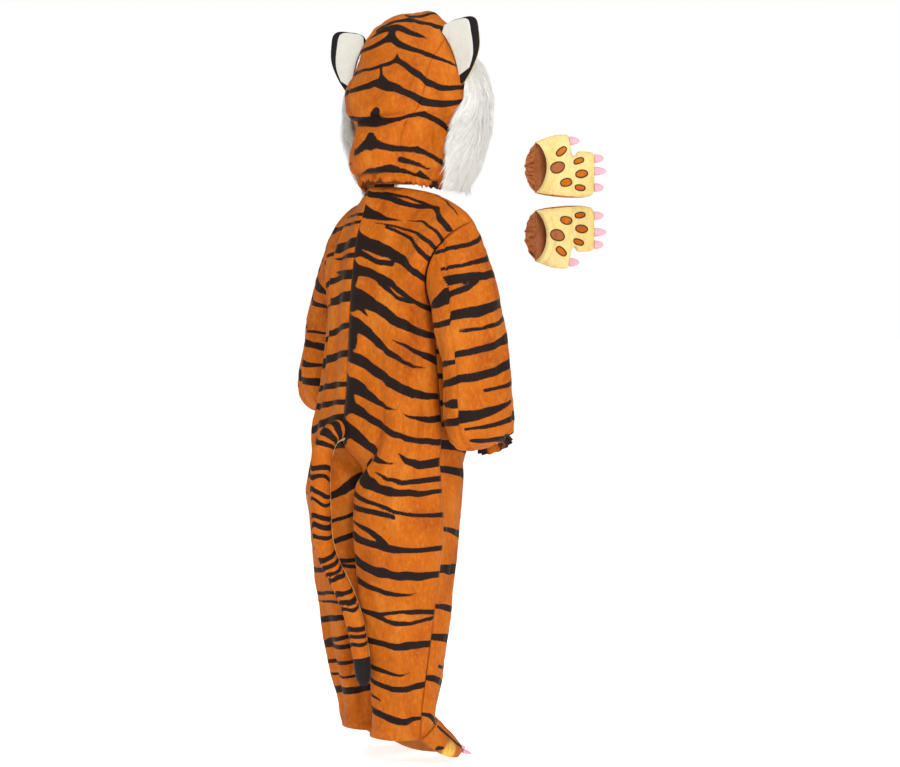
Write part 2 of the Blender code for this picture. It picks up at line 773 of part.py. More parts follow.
# Tail
def sweep(rows, section, first, last, count):
    """Rings along a smooth middle line between two rows. The section gives points across the line."""
    table = [(index, *row) for index, row in enumerate(rows)]
    step = 0.05
    rings = []
    for share in shares(count):
        at = first + (last - first) * share
        x, y, z, radius = follow(table, at)
        before = follow(table, max(at - step, 0.0))[:3]
        after = follow(table, min(at + step, len(rows) - 1))[:3]
        along = Vector(after - before).normalized()
        under = along.cross(Vector((1, 0, 0))).normalized()
        across = under.cross(along).normalized()
        middle = Vector((x, y, z))
        rings.append([middle + under * a + across * b for a, b in section(radius)])
    return rings


def arc(radius, start, end, count, shift=0.0, flat=1.0):
    """Points round part of a circle, moved along its first axis."""
    points = []
    for share in shares(count):
        angle = start + (end - start) * share
        points.append((radius * math.cos(angle) + shift, radius * math.sin(angle) * flat))
    return points


def tail():
    half = math.radians(TAIL_UNDER_HALF_ANGLE)
    whole = 2 * math.pi
    last = len(TAIL_ROWS) - 1

    def upper(radius):
        return arc(radius, half, whole - half, TAIL_SIDES)

    def lower(radius):
        return arc(radius, -half, half, 6, shift=LAID_ON_GAP, flat=0.97)

    def round_section(radius):
        return arc(radius, 0.0, whole, TAIL_SIDES + 1)[:-1]

    solid_rings("tail_back", sweep(TAIL_ROWS, upper, 0, TAIL_TIP_ROW, 18), ORANGE)
    solid_rings("tail_under", sweep(TAIL_ROWS, lower, 0, TAIL_TIP_ROW, 18), CREAM)
    solid_rings("tail_tip", sweep(TAIL_ROWS, round_section, TAIL_TIP_ROW + TAIL_TIP_GAP, last, 6), BLACK)


tail()


# Foot covers and claws
def claw(name, root, direction, length=CLAW_LENGTH, radius=CLAW_RADIUS):
    """A soft felt claw, a blunt cone on a round root."""
    along = Vector(direction).normalized()
    side = along.cross(Vector((0, 0, 1))).normalized()
    up = side.cross(along)
    rings = []
    for share, width in CLAW_RINGS:
        middle = Vector(root) + along * length * share
        ring = []
        for step in range(CLAW_SIDES):
            angle = 2 * math.pi * step / CLAW_SIDES
            ring.append(middle + (side * math.cos(angle) + up * math.sin(angle) * 0.7) * radius * width)
        rings.append(ring)
    solid_rings(name, rings, PINK)


def foot_point(side, share, turn):
    """A point of a foot cover. The turn goes over it in degrees, from the outer edge to the inner one."""
    hem = HEM_Z[side]
    square = follow(LEG_ROWS, hem)[3]
    half, edge_y, edge_z, crown_y, crown_z = follow(FOOT_ROWS, share)
    angle = math.radians(turn)
    rise = power(math.sin(angle), 2 / square)
    z = hem - SEAM_GAP + edge_z + (crown_z - edge_z) * rise
    # Over the hem the cover lies on the outside of the leg
    level = max(z, hem)
    half_width, half_depth, inner = follow(LEG_ROWS, level)[:3]
    middle_y = follow(LEG_MIDDLES, level)[0 if side == LEFT else 1]
    x = inner + half_width + half * power(math.cos(angle), 2 / square)
    y = middle_y - half_depth + edge_y + (crown_y - edge_y) * rise
    return Vector((side * x, y, z))


def foot_cover(side):
    """The cloth upper that falls from the front of the hem over the shoe."""
    grid = [[foot_point(side, share, 180 * across) for across in shares(11)] for share in shares(8)]
    middle = foot_point(side, 0.5, 90.0)
    cloth("foot_" + SIDE_NAMES[side], grid, middle + Vector((0, 0.02, -0.06)), ORANGE)
    for number, turn in enumerate(FOOT_CLAW_PLACES, start=1):
        toe = foot_point(side, 1.0, turn)
        ahead = Vector((side * math.cos(math.radians(turn)) * 0.35, -0.92, -0.36)).normalized()
        claw(f"foot_claw_{SIDE_NAMES[side]}_{number}", toe + ahead * FOOT_CLAW_SEAT, ahead)


for side in (LEFT, RIGHT):
    foot_cover(side)


# Hood
def hood_half_width(y, z):
    """Half width of the hood at a place in its middle plane."""
    ahead = y < HEAD_MIDDLE_Y
    dy = y - HEAD_MIDDLE_Y
    dz = max(z - HEAD_MIDDLE_Z, 0.0)
    half_width = HEAD_HALF_WIDTH
    back = follow(HOOD_LOWER, HEAD_MIDDLE_Z)[1]
    if z < HEAD_MIDDLE_Z:
        half_width, back = follow(HOOD_LOWER, z)
        fuller = follow(HOOD_LOWER_FRONT, z)[0] - half_width
        half_width += fuller * ease((HOOD_PINCH_Y - y) / HOOD_PINCH_BLEND)
    if z < HEAD_MIDDLE_Z and not ahead:
        share = dy / (back - HEAD_MIDDLE_Y)
    else:
        radius = follow(HOOD_OUTLINE, math.degrees(math.atan2(dy, dz)))[0]
        share = math.hypot(dy, dz) / radius
        if ahead:
            # In front of the ears the side stays full until the brow
            share = math.hypot(dy * (1 - HOOD_FACE_FULLNESS * (1 - share * share)), dz) / radius
    share = min(share, 1.0)
    width = half_width * (1 - share ** HEAD_ROUNDNESS) ** (1 / HEAD_ROUNDNESS)
    if ahead:
        width -= FACE_TAPER * (dy / 0.072) ** 2
    return max(width, 0.0)


def hood_side_point(side, across, down):
    """A point of the side of the hood, from the back seam to the face and from the top to the neck."""
    def top(at):
        return follow(HOOD_SEAM, HOOD_SEAM_CORNER * (1 - at))

    def back(at):
        return follow(HOOD_SEAM, HOOD_SEAM_CORNER + (1 - HOOD_SEAM_CORNER) * at)

    def front(at):
        return follow(HOOD_FACE_EDGE, at)

    def bottom(at):
        return follow(HOOD_NECK_EDGE, at)

    spot = top(across) * (1 - down) + bottom(across) * down
    spot = spot + back(down) * (1 - across) + front(down) * across
    spot = spot - top(0) * (1 - across) * (1 - down) - top(1) * across * (1 - down)
    spot = spot - bottom(0) * (1 - across) * down - bottom(1) * across * down
    y, z = spot
    return Vector((side * hood_half_width(y, z), y, z))


def turn_hood(piece):
    piece.rotation_euler = (0.0, 0.0, math.radians(HOOD_TURN))


def hood_side(side):
    grid = []
    for down in shares(HOOD_BACK_ROWS):
        grid.append([hood_side_point(side, across, down) for across in shares(HOOD_TOP_COLUMNS)])
    grid = pull_in_edges(grid, True, True, SEAM_GAP)
    turn_hood(cloth("hood_side_" + SIDE_NAMES[side], grid, HOOD_INSIDE, ORANGE))


def hood_ridge_point(share):
    """The middle line of the hood from the brow to the nape."""
    seam_y, seam_z = follow(HOOD_SEAM, share)
    half = hood_half_width(seam_y, seam_z)
    if seam_z >= HEAD_MIDDLE_Z:
        turn = math.degrees(math.atan2(seam_y - HEAD_MIDDLE_Y, seam_z - HEAD_MIDDLE_Z))
        radius = follow(HOOD_OUTLINE, turn)[0]
        ridge_y = HEAD_MIDDLE_Y + radius * math.sin(math.radians(turn))
        ridge_z = HEAD_MIDDLE_Z + radius * math.cos(math.radians(turn))
        return ridge_y, ridge_z, half
    return follow(HOOD_LOWER, seam_z)[1], seam_z, half


def hood_middle_point(share, across):
    """A point of the middle strip. Across goes from -1 at the right seam to 1 at the left seam."""
    ridge_y, ridge_z, half = hood_ridge_point(share)
    seam_y, seam_z = follow(HOOD_SEAM, share)
    full_drop = 1 - (1 - HOOD_STRIP_ROUND) ** (1 / HEAD_ROUNDNESS)
    drop = (1 - (1 - abs(across) ** HEAD_ROUNDNESS * HOOD_STRIP_ROUND) ** (1 / HEAD_ROUNDNESS)) / full_drop
    return Vector((half * across, ridge_y + (seam_y - ridge_y) * drop, ridge_z + (seam_z - ridge_z) * drop))


def hood_middle():
    grid = []
    seam = [HOOD_SEAM_CORNER * at for at in shares(HOOD_TOP_COLUMNS)[:-1]]
    seam += [HOOD_SEAM_CORNER + (1 - HOOD_SEAM_CORNER) * at for at in shares(HOOD_BACK_ROWS)]
    for share in seam:
        grid.append([hood_middle_point(share, 2 * across - 1) for across in shares(9)])
    grid = pull_in_edges(grid, False, True, SEAM_GAP)
    turn_hood(cloth("hood_middle", grid, HOOD_INSIDE, ORANGE))


def hood_casing():
    """The elastic casing round the nape and sides, drawn into waves."""
    columns = CASING_WAVES * 4 + 1
    grid = []
    for down in shares(2):
        row = []
        for share in shares(columns):
            around = 2 * share - 1
            if abs(around) < CASING_NAPE_SHARE:
                start = hood_middle_point(1.0, around / CASING_NAPE_SHARE)
            else:
                ahead = (abs(around) - CASING_NAPE_SHARE) / (1 - CASING_NAPE_SHARE)
                start = hood_side_point(math.copysign(1, around), ahead * CASING_SIDE_REACH, 1.0)
            middle = Vector((0, HEAD_MIDDLE_Y + 0.02, start.z))
            outwards = (start - middle).normalized()
            wave = math.cos(2 * math.pi * CASING_WAVES * share)
            point = start + outwards * (CASING_WAVE * wave * (0.35 + down) - CASING_DRAW * down - CASING_INSET)
            point.z -= SEAM_GAP + CASING_STEP + CASING_HEIGHT * down
            row.append(point)
        grid.append(row)
    turn_hood(cloth("hood_casing", grid, (0, HEAD_MIDDLE_Y + 0.02, 0.05), ORANGE))


def hood_chin():
    """The band that joins both sides of the hood below the face."""
    right_top = hood_side_point(RIGHT, 1.0, CHIN_TOP)
    left_top = hood_side_point(LEFT, 1.0, CHIN_TOP)
    right_low = hood_side_point(RIGHT, 1.0, 1.0)
    left_low = hood_side_point(LEFT, 1.0, 1.0)
    grid = []
    for down in shares(4):
        start = right_top.lerp(right_low, down)
        end = left_top.lerp(left_low, down)
        row = []
        for across in shares(13):
            point = start.lerp(end, across)
            point.y -= CHIN_REACH * math.sin(math.pi * across) ** 0.8 + SEAM_GAP * 2
            row.append(point)
        grid.append(row)
    turn_hood(cloth("hood_chin", grid, (0, 0.0, 0.02), ORANGE))


def ruff(side):
    """The long white pile at the side of the face, a soft pad on the side of the hood."""
    low = RUFF_ROWS[0][0]
    high = RUFF_ROWS[-1][0]
    under = []
    over = []
    for up in shares(11):
        z = low + (high - low) * up
        back, front, thick = follow(RUFF_ROWS, z)
        under_row = []
        over_row = []
        for across in shares(9):
            y = back + (front - back) * across
            base = hood_half_width(y, max(z, 0.010)) + RUFF_GAP
            swell = thick * (RUFF_EDGE + (1 - RUFF_EDGE) * math.sin(math.pi * across) ** RUFF_ROUND)
            under_row.append(Vector((side * base, y, z)))
            over_row.append(Vector((side * (base + swell), y, z)))
        under.append(under_row)
        over.append(over_row)
    turn_hood(padded("ruff_" + SIDE_NAMES[side], under, over, WHITE))


def ear_point(side, along, out, forward):
    """A point of an ear. Along runs round the outline, out goes from the root to the edge."""
    table = [(index, *row) for index, row in enumerate(EAR_OUTLINE)]
    x, z = follow(table, along * (len(EAR_OUTLINE) - 1))
    z += EAR_DROP[side]
    first = EAR_OUTLINE[0]
    last = EAR_OUTLINE[-1]
    root_z = first[1] + (last[1] - first[1]) * along + EAR_DROP[side]
    root_x = hood_half_width(EAR_Y - max(forward, 0.0) - WALL, root_z) + EAR_ROOT_GAP
    root_x += EAR_TOP_GAP * (1 - along) ** 2
    x = max(x, root_x)
    cup = EAR_CUP * math.sin(math.pi * along) * out * (1 - 0.45 * out)
    return Vector((side * (root_x + (x - root_x) * out), EAR_Y + cup - forward, root_z + (z - root_z) * out))


def ear(side):
    for name, first, last, end, border, forward, wall, colour in EAR_LAYERS:
        grid = []
        for out in shares(5):
            row = []
            for share in shares(10):
                along = first + (last - first) * share
                far = end * (1 - border * ease((along - BORDER_START) / BORDER_EASE))
                row.append(ear_point(side, along, EAR_LIFT + (far - EAR_LIFT) * out, forward))
            grid.append(row)
        turn_hood(cloth(name + SIDE_NAMES[side], grid, (side * 0.09, -0.20, 0.20), colour, wall=wall))


def muzzle():
    rings = []
    for y, z, half_width, half_height in MUZZLE_ROWS:
        ring = []
        for step in range(MUZZLE_SIDES):
            angle = 2 * math.pi * step / MUZZLE_SIDES
            ring.append(Vector((
                half_width * power(math.cos(angle), 0.85),
                y + 0.006 * math.sin(angle),
                z + half_height * power(math.sin(angle), 0.85),
            )))
        rings.append(ring)
    turn_hood(solid_rings("muzzle", rings, ORANGE))


hood_middle()
hood_casing()
hood_chin()
muzzle()
for side in (LEFT, RIGHT):
    hood_side(side)
    ruff(side)
    ear(side)


# Gloves, made flat with the hand along X and the palm towards +Z, then stood up beside the suit
def glove_point(share, across, layer):
    """A point of the palm (layer 1) or the back (layer -1)."""
    length = GLOVE_ROWS[-1][0]
    low, high, puff = follow(GLOVE_ROWS, share * length)
    y = low + (high - low) * across
    round_off = math.sin(math.pi * across) ** GLOVE_PUFF_ROUND
    return Vector((share * length, y, layer * (puff * round_off + GLOVE_EDGE)))


def glove(side):
    along, up, mirror = GLOVE_PLACES[side]
    frame = Matrix((
        (VIEW_RIGHT.x, 0, VIEW_TOWARDS.x, VIEW_RIGHT.x * along),
        (VIEW_RIGHT.y, 0, VIEW_TOWARDS.y, VIEW_RIGHT.y * along),
        (0, 1, 0, up),
        (0, 0, 0, 1),
    ))
    name = SIDE_NAMES[side]

    def place(point):
        return frame @ Vector((point.x, mirror * point.y, point.z))

    palm = []
    back = []
    for step in shares(13):
        palm_row = []
        back_row = []
        for across in shares(9):
            dip = GLOVE_WRIST_DIP * math.sin(math.pi * across) ** GLOVE_WRIST_ROUND / GLOVE_ROWS[-1][0]
            palm_row.append(place(glove_point(dip * (1 - step) + step, across, 1)))
            back_row.append(place(glove_point(step, across, -1)))
        palm.append(palm_row)
        back.append(back_row)
    for step in (0.5, 1.0):
        row = []
        for across in shares(9):
            point = glove_point(0.0, across, -1)
            wave = math.cos(math.pi * GLOVE_WAVES * across)
            point.y *= 1 - GLOVE_LINING_DRAW * step
            reach = GLOVE_LINING_SIDES + (1 - GLOVE_LINING_SIDES) * math.sin(math.pi * across)
            point.x -= GLOVE_LINING_REACH * step * reach
            point.z += (GLOVE_LINING_RISE + GLOVE_LINING_WAVE * wave) * step
            row.append(place(point))
        back.insert(0, row)
    inside = place(Vector((0.045, 0.0, 0.0)))
    cloth("glove_palm_" + name, palm, inside, PALE_YELLOW, wall=THIN_WALL)
    cloth("glove_back_" + name, back, inside, ORANGE, wall=THIN_WALL)
    for number, (x, y, length) in enumerate(GLOVE_CLAWS, start=1):
        root = place(Vector((x, y, 0.0)))
        ahead = place(Vector((x + 1.0, y, 0.0))) - root
        claw(f"glove_claw_{name}_{number}", root, ahead, length, GLOVE_CLAW_RADIUS)


for side in (LEFT, RIGHT):
    glove(side)
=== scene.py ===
import math

import bpy
import numpy as np
from mathutils import Matrix, Vector


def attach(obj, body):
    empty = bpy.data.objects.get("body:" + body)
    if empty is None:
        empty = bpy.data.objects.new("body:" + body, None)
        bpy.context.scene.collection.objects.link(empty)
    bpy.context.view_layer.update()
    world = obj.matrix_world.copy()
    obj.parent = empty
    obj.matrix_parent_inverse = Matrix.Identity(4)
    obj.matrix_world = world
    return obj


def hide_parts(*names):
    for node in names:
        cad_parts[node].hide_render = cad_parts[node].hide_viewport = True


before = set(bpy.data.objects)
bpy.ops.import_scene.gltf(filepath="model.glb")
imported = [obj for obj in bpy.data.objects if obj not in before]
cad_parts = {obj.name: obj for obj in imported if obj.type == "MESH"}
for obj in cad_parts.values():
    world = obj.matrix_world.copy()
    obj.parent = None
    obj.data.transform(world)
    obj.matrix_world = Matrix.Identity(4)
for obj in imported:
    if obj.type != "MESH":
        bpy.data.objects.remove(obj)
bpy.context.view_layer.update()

# %% [markdown]
# # A child's tiger costume in plush
# The real costume is a jumpsuit with a tail and foot covers, a hood with ears and a ruff, and two gloves.
# Every part is thin cloth round an empty inside, held in shape here as if a child of about 104 cm wore it.
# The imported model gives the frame: the wearer faces -Y, the wearer's left is +X, and lengths are metres.

# %% [markdown]
# ## Camera
# The photograph looks at the costume from behind its right shoulder, level with the waist, from a few metres
# away. A long lens keeps the proportions calm. The camera is tipped down by two degrees and needs no shift.

# %% Camera
VIEW_TOWARDS = Vector((-0.766, 0.643, 0.0))
VIEW_RIGHT = Vector((-0.643, -0.766, 0.0))
VIEW_PLACE = (3.5, 0.0643, -0.157)
VIEW_TURN = (88.05, 0.0, 230.0)
LONG_LENS = 97.9


def in_view(towards, aside, height):
    """A place as the camera sees it: towards it, to its right, and up from the suit's neck."""
    return VIEW_TOWARDS * towards + VIEW_RIGHT * aside + Vector((0.0, 0.0, height))


camera_data = bpy.data.cameras.new("camera")
camera_data.sensor_width = 36.0
camera_data.lens = LONG_LENS
camera = bpy.data.objects.new("camera", camera_data)
camera.location = in_view(*VIEW_PLACE)
camera.rotation_euler = [math.radians(angle) for angle in VIEW_TURN]
bpy.context.scene.collection.objects.link(camera)
bpy.context.scene.camera = camera
print("camera at", [round(value, 2) for value in camera.location])

# %% [markdown]
# ## Floor and light
# A catalogue photograph has a white floor and wide soft lights. The main panel stands in front, a little to
# the camera's right. A wider and weaker one stands on its left, one hangs over the costume, and a white world
# fills the shadows.

# %% Floor
FLOOR_Z = -0.8125
FLOOR_SIZE = 60.0
FLOOR_GLOW = 0.78
bpy.ops.object.select_all(action="DESELECT")
bpy.ops.mesh.primitive_plane_add(size=FLOOR_SIZE, location=(0.0, 0.0, FLOOR_Z))
floor = bpy.context.object
floor.name = "floor"
floor.data.transform(Matrix.Translation(floor.location))
floor.location = (0.0, 0.0, 0.0)
floor_finish = bpy.data.materials.new("pale_floor")
floor_finish.use_nodes = True
floor_shader = floor_finish.node_tree.nodes["Principled BSDF"]
floor_shader.inputs["Base Color"].default_value = (0.97, 0.97, 0.97, 1.0)
floor_shader.inputs["Roughness"].default_value = 0.9
floor_shader.inputs["Emission Color"].default_value = (1.0, 1.0, 1.0, 1.0)
floor_shader.inputs["Emission Strength"].default_value = FLOOR_GLOW
floor.data.materials.append(floor_finish)
print("floor at the height", FLOOR_Z)

# %% World
# The picture shows a white world, and the costume is lit by a dimmer one, so that its folds keep their shade
WORLD_SEEN = 1.0
WORLD_LIGHT = 0.36
world = bpy.data.worlds.new("studio")
world.use_nodes = True
world_nodes = world.node_tree.nodes
world_nodes["Background"].inputs["Color"].default_value = (1.0, 1.0, 1.0, 1.0)
seen = world_nodes.new("ShaderNodeLightPath").outputs["Is Camera Ray"]
level = world_nodes.new("ShaderNodeMapRange")
level.inputs["To Min"].default_value = WORLD_LIGHT
level.inputs["To Max"].default_value = WORLD_SEEN
world.node_tree.links.new(seen, level.inputs["Value"])
world.node_tree.links.new(level.outputs["Result"], world_nodes["Background"].inputs["Strength"])
bpy.context.scene.world = world
bpy.context.scene.view_settings.view_transform = "Standard"
print("world:", WORLD_SEEN, "seen,", WORLD_LIGHT, "as light")

# %% Lights
LIT_MIDDLE = Vector((0.0, 0.0, -0.25))
# Name, towards the camera, to its right, up, side length in metres, power in watts
LIGHTS = (
    ("key", 2.6, 0.7, 1.2, 0.9, 60.0),
    ("fill", 2.4, -2.0, 0.8, 2.0, 8.0),
    ("top", 0.2, 0.2, 2.4, 1.6, 18.0),
)
for name, towards, aside, height, size, watts in LIGHTS:
    data = bpy.data.lights.new(name, "AREA")
    data.size = size
    data.energy = watts
    light = bpy.data.objects.new(name, data)
    light.location = in_view(towards, aside, height)
    light.rotation_euler = (LIT_MIDDLE - light.location).to_track_quat("-Z", "Y").to_euler()
    bpy.context.scene.collection.objects.link(light)
print("lights:", len(LIGHTS))

# %% [markdown]
# ## Curves and grids
# Cloth is easiest to shape as a grid of points, with a row for each height and a column for each place round
# the body. Short tables give the shape at a few places, a smooth curve fills in between, and a finer grid is
# drawn through it.

# %% Reading a table on a smooth curve


def follow(table, at):
    """Read a table at a key in its first column, on a smooth curve through its rows."""
    rows = np.array(table, dtype=float)
    rows = rows[np.argsort(rows[:, 0])]
    keys = rows[:, 0]
    values = rows[:, 1:]
    slopes = np.gradient(values, keys, axis=0)
    at = float(np.clip(at, keys[0], keys[-1]))
    low = int(np.clip(np.searchsorted(keys, at) - 1, 0, len(keys) - 2))
    span = keys[low + 1] - keys[low]
    t = (at - keys[low]) / span
    start = (1 + 2 * t) * (1 - t) ** 2 * values[low] + t * (1 - t) ** 2 * span * slopes[low]
    end = t * t * (3 - 2 * t) * values[low + 1] + t * t * (t - 1) * span * slopes[low + 1]
    return start + end


def ease(t):
    """Go from 0 to 1 with a soft start and end."""
    t = min(max(t, 0.0), 1.0)
    return t * t * (3 - 2 * t)


def power(value, exponent):
    """Raise a number to an exponent and keep its sign."""
    return math.copysign(abs(value) ** exponent, value)


def shares(count):
    """Evenly spaced numbers from 0 to 1, both included."""
    return [index / (count - 1) for index in range(count)]


def refine(grid, down, across, closed=False):
    """A finer grid through the points of a coarse one, on smooth curves, with all its channels."""
    def along(points, factor, loop):
        count = len(points)
        at = np.arange((count if loop else count - 1) * factor + (0 if loop else 1)) / factor
        low = np.floor(at).astype(int)
        if loop:
            before, start, end, after = (points[(low + step) % count] for step in (-1, 0, 1, 2))
        else:
            low = np.minimum(low, count - 2)
            wide = np.concatenate([2 * points[:1] - points[1:2], points, 2 * points[-1:] - points[-2:-1]])
            before, start, end, after = (wide[low + step] for step in (0, 1, 2, 3))
        t = (at - low).reshape(-1, *[1] * (points.ndim - 1))
        bend = 2 * before - 5 * start + 4 * end - after
        rest = 3 * start - before - 3 * end + after
        return 0.5 * (2 * start + (end - before) * t + bend * t * t + rest * t * t * t)

    grid = along(np.array(grid, dtype=float), down, False)
    return np.swapaxes(along(np.swapaxes(grid, 0, 1), across, closed), 0, 1)


print("a smooth curve half way from 1 to 3:", follow(((0.0, 1.0), (1.0, 3.0)), 0.5))

# %% Directions, hills and edges


def ramp(value, start, end):
    """Go from 0 to 1 on a straight line between a start and an end."""
    return np.clip((value - start) / (end - start), 0.0, 1.0)


def unit(vectors):
    """The same directions, each one long."""
    return vectors / np.maximum(np.linalg.norm(vectors, axis=-1, keepdims=True), 1e-9)


def hills(a, b, size, seed):
    """Smooth random hills and hollows from -0.5 to 0.5, about one for each size."""
    heights = np.random.default_rng(seed).random((64, 64))
    u = np.asarray(a) / size + 1000.0
    v = np.asarray(b) / size + 1000.0
    i = np.floor(u).astype(int)
    j = np.floor(v).astype(int)
    s = (u - i) ** 2 * (3 - 2 * (u - i))
    t = (v - j) ** 2 * (3 - 2 * (v - j))
    low = heights[i % 64, j % 64] * (1 - s) + heights[(i + 1) % 64, j % 64] * s
    high = heights[i % 64, (j + 1) % 64] * (1 - s) + heights[(i + 1) % 64, (j + 1) % 64] * s
    return low * (1 - t) + high * t - 0.5


def push_out(points, inside, depth, closed=False):
    """Move each point of a grid away from the inside, square to the cloth, by its own depth."""
    if closed:
        round_step = np.roll(points, -1, axis=1) - np.roll(points, 1, axis=1)
    else:
        round_step = np.gradient(points, axis=1)
    normals = unit(np.cross(round_step, np.gradient(points, axis=0)))
    if (normals * (points - np.array(inside))).sum() < 0:
        normals = -normals
    return points + normals * depth[..., None]


def draw_in(points, gap, rows=False):
    """Leave room at the seams: the outermost columns, and the rows too where asked, move inwards by a gap."""
    for grid in [np.swapaxes(points, 0, 1)] + [points] * rows:
        for edge, beside in ((0, 1), (-1, -2)):
            grid[edge] += unit(grid[beside] - grid[edge]) * gap
    return points


def way_down(points):
    """How far each point of a grid is from the first row, along the cloth."""
    steps = np.linalg.norm(np.diff(points, axis=0), axis=2)
    return np.concatenate([np.zeros((1, points.shape[1])), np.cumsum(steps, axis=0)])


def edge_distance(points, closed=False):
    """How far each point of a grid is from the nearest edge, along the cloth."""
    down = way_down(points)
    near = np.minimum(down, down[-1:] - down)
    if closed:
        return near
    across = way_down(np.swapaxes(points, 0, 1)).T
    return np.minimum(near, np.minimum(across, across[:, -1:] - across))


def seam_dip(distance, depth=0.0011, width=0.0035):
    """How far a seam draws the cloth in beside it."""
    return depth * np.exp(-(distance / width) ** 2)


def measure(points, closed):
    """Width, length and area of the cloth in a grid."""
    loop = np.concatenate([points, points[:, :1]], axis=1) if closed else points
    width = np.linalg.norm(np.diff(loop, axis=1), axis=2).sum(axis=1).max()
    length = np.linalg.norm(np.diff(loop, axis=0), axis=2).sum(axis=0).max()
    first = loop[1:, 1:] - loop[:-1, :-1]
    second = loop[1:, :-1] - loop[:-1, 1:]
    area = 0.5 * np.linalg.norm(np.cross(first, second), axis=2).sum()
    return round(float(width), 4), round(float(length), 4), float(area)


print("the highest of a row of hills:", round(float(hills(np.arange(50), 0.0, 5.0, 1).max()), 2))

# %% Meshes
# Thickness of the plush, of the gloves and the neck tab, and of a patch
WALL = 0.0015
THIN_WALL = 0.0012
PATCH_WALL = 0.001
# Gaps at a seam, and under what is laid on
SEAM_GAP = 0.0005
LAID_ON_GAP = 0.0004


def grid_faces(rows, columns, closed):
    """Faces of a grid of points, four corners each."""
    faces = []
    for row in range(rows - 1):
        for column in range(columns if closed else columns - 1):
            after = (column + 1) % columns
            faces.append((row * columns + column, row * columns + after,
                          (row + 1) * columns + after, (row + 1) * columns + column))
    return faces


def add_piece(name, vertices, faces, finishes, nodes, values=None):
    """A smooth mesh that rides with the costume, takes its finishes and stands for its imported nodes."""
    mesh = bpy.data.meshes.new(name)
    mesh.from_pydata([tuple(point) for point in vertices], [], faces)
    for label, numbers in (values or {}).items():
        attribute = mesh.attributes.new(label, "FLOAT", "POINT")
        attribute.data.foreach_set("value", np.asarray(numbers, dtype=np.float32).ravel())
    for finish in finishes:
        mesh.materials.append(finish)
    mesh.update()
    mesh.shade_smooth()
    piece = bpy.data.objects.new(name, mesh)
    bpy.context.scene.collection.objects.link(piece)
    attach(piece, "root")
    if nodes:
        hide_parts(*nodes)
    return piece


def face_outwards(piece, middle):
    """Turn the faces of a piece round if they look at its middle."""
    volume = sum(face.area * face.normal.dot(face.center - middle) for face in piece.data.polygons)
    if volume < 0:
        piece.data.flip_normals()


def cloth(name, points, inside, finish, slot, nodes, values=None, closed=False, wall=WALL,
          held="hung", rests_on=(), lining=None):
    """A sheet of cloth through a fine grid, thick towards the inside, where it shows the fabric's back."""
    rows, columns = points.shape[:2]
    piece = add_piece(name, points.reshape(-1, 3), grid_faces(rows, columns, closed),
                      [finish, lining or fabric_back], nodes, values)
    face_outwards(piece, Vector(inside))
    thick = piece.modifiers.new("Thickness", "SOLIDIFY")
    thick.thickness = wall
    thick.offset = -1.0
    thick.use_even_offset = False
    thick.material_offset = 1
    width, length, area = measure(points, closed)
    print(f"{name}: cut {width * 1000:.0f} x {length * 1000:.0f} mm, {rows * columns} points")


def striped_cloth(node, points, inside, values, **more):
    """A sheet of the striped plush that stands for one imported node."""
    cloth("plush_" + node, points, inside, striped_plush, "striped_orange_plush", [node], values, **more)

# %% [markdown]
# ## Finishes
# Plush is a knit with a short dense pile. Its colour is lighter where the pile stands and deeper where it
# lies, in streaks that run down the cloth. The dark stripes are dyed on, so their edges are a little furry.
# One node group makes all of that. It is placed in each plush with its own colours.

# %% Placing nodes


def put(tree, kind, inputs=None, **settings):
    """Add a node, set it up, and give back its outputs. An input is a number or another node's output."""
    node = tree.nodes.new(kind)
    for label, value in settings.items():
        setattr(node, label, value)
    for label, value in (inputs or {}).items():
        if isinstance(value, bpy.types.NodeSocket):
            tree.links.new(value, node.inputs[label])
        else:
            node.inputs[label].default_value = value
    return node.outputs


def sums(tree, operation, first, second=0.0, third=0.0):
    """Arithmetic on up to three values."""
    return put(tree, "ShaderNodeMath", {0: first, 1: second, 2: third}, operation=operation)[0]


def blend(tree, factor, first, second):
    """Go from one colour to another by a factor."""
    return put(tree, "ShaderNodeMix", {0: factor, 6: first, 7: second}, data_type="RGBA")[2]


def noise(tree, vector, scale, detail=2.0, roughness=0.5):
    """A cloudy pattern from 0 to 1."""
    values = {"Vector": vector, "Scale": scale, "Detail": detail, "Roughness": roughness}
    return put(tree, "ShaderNodeTexNoise", values)[0]


def step(tree, value, low, high, first=0.0, last=1.0):
    """Go from a first value to a last one while another goes from low to high."""
    values = {0: value, 1: low, 2: high, 3: first, 4: last}
    return put(tree, "ShaderNodeMapRange", values, interpolation_type="SMOOTHSTEP")[0]


def painted(tree, name):
    """Read the numbers that a mesh keeps at its points under a name."""
    return put(tree, "ShaderNodeAttribute", attribute_name=name, attribute_type="GEOMETRY")["Fac"]


def new_group(name, inputs, outputs):
    """An empty node group, what comes into it and what goes out of it."""
    group = bpy.data.node_groups.new(name, "ShaderNodeTree")
    for label, kind, value in inputs:
        socket = group.interface.new_socket(label, in_out="INPUT", socket_type=kind)
        if value is not None:
            socket.default_value = value
    for label, kind in outputs:
        group.interface.new_socket(label, in_out="OUTPUT", socket_type=kind)
    start = group.nodes.new("NodeGroupInput")
    end = group.nodes.new("NodeGroupOutput")
    return group, start.outputs, end.inputs


COLOUR = "NodeSocketColor"
FLOAT = "NodeSocketFloat"
VECTOR = "NodeSocketVector"

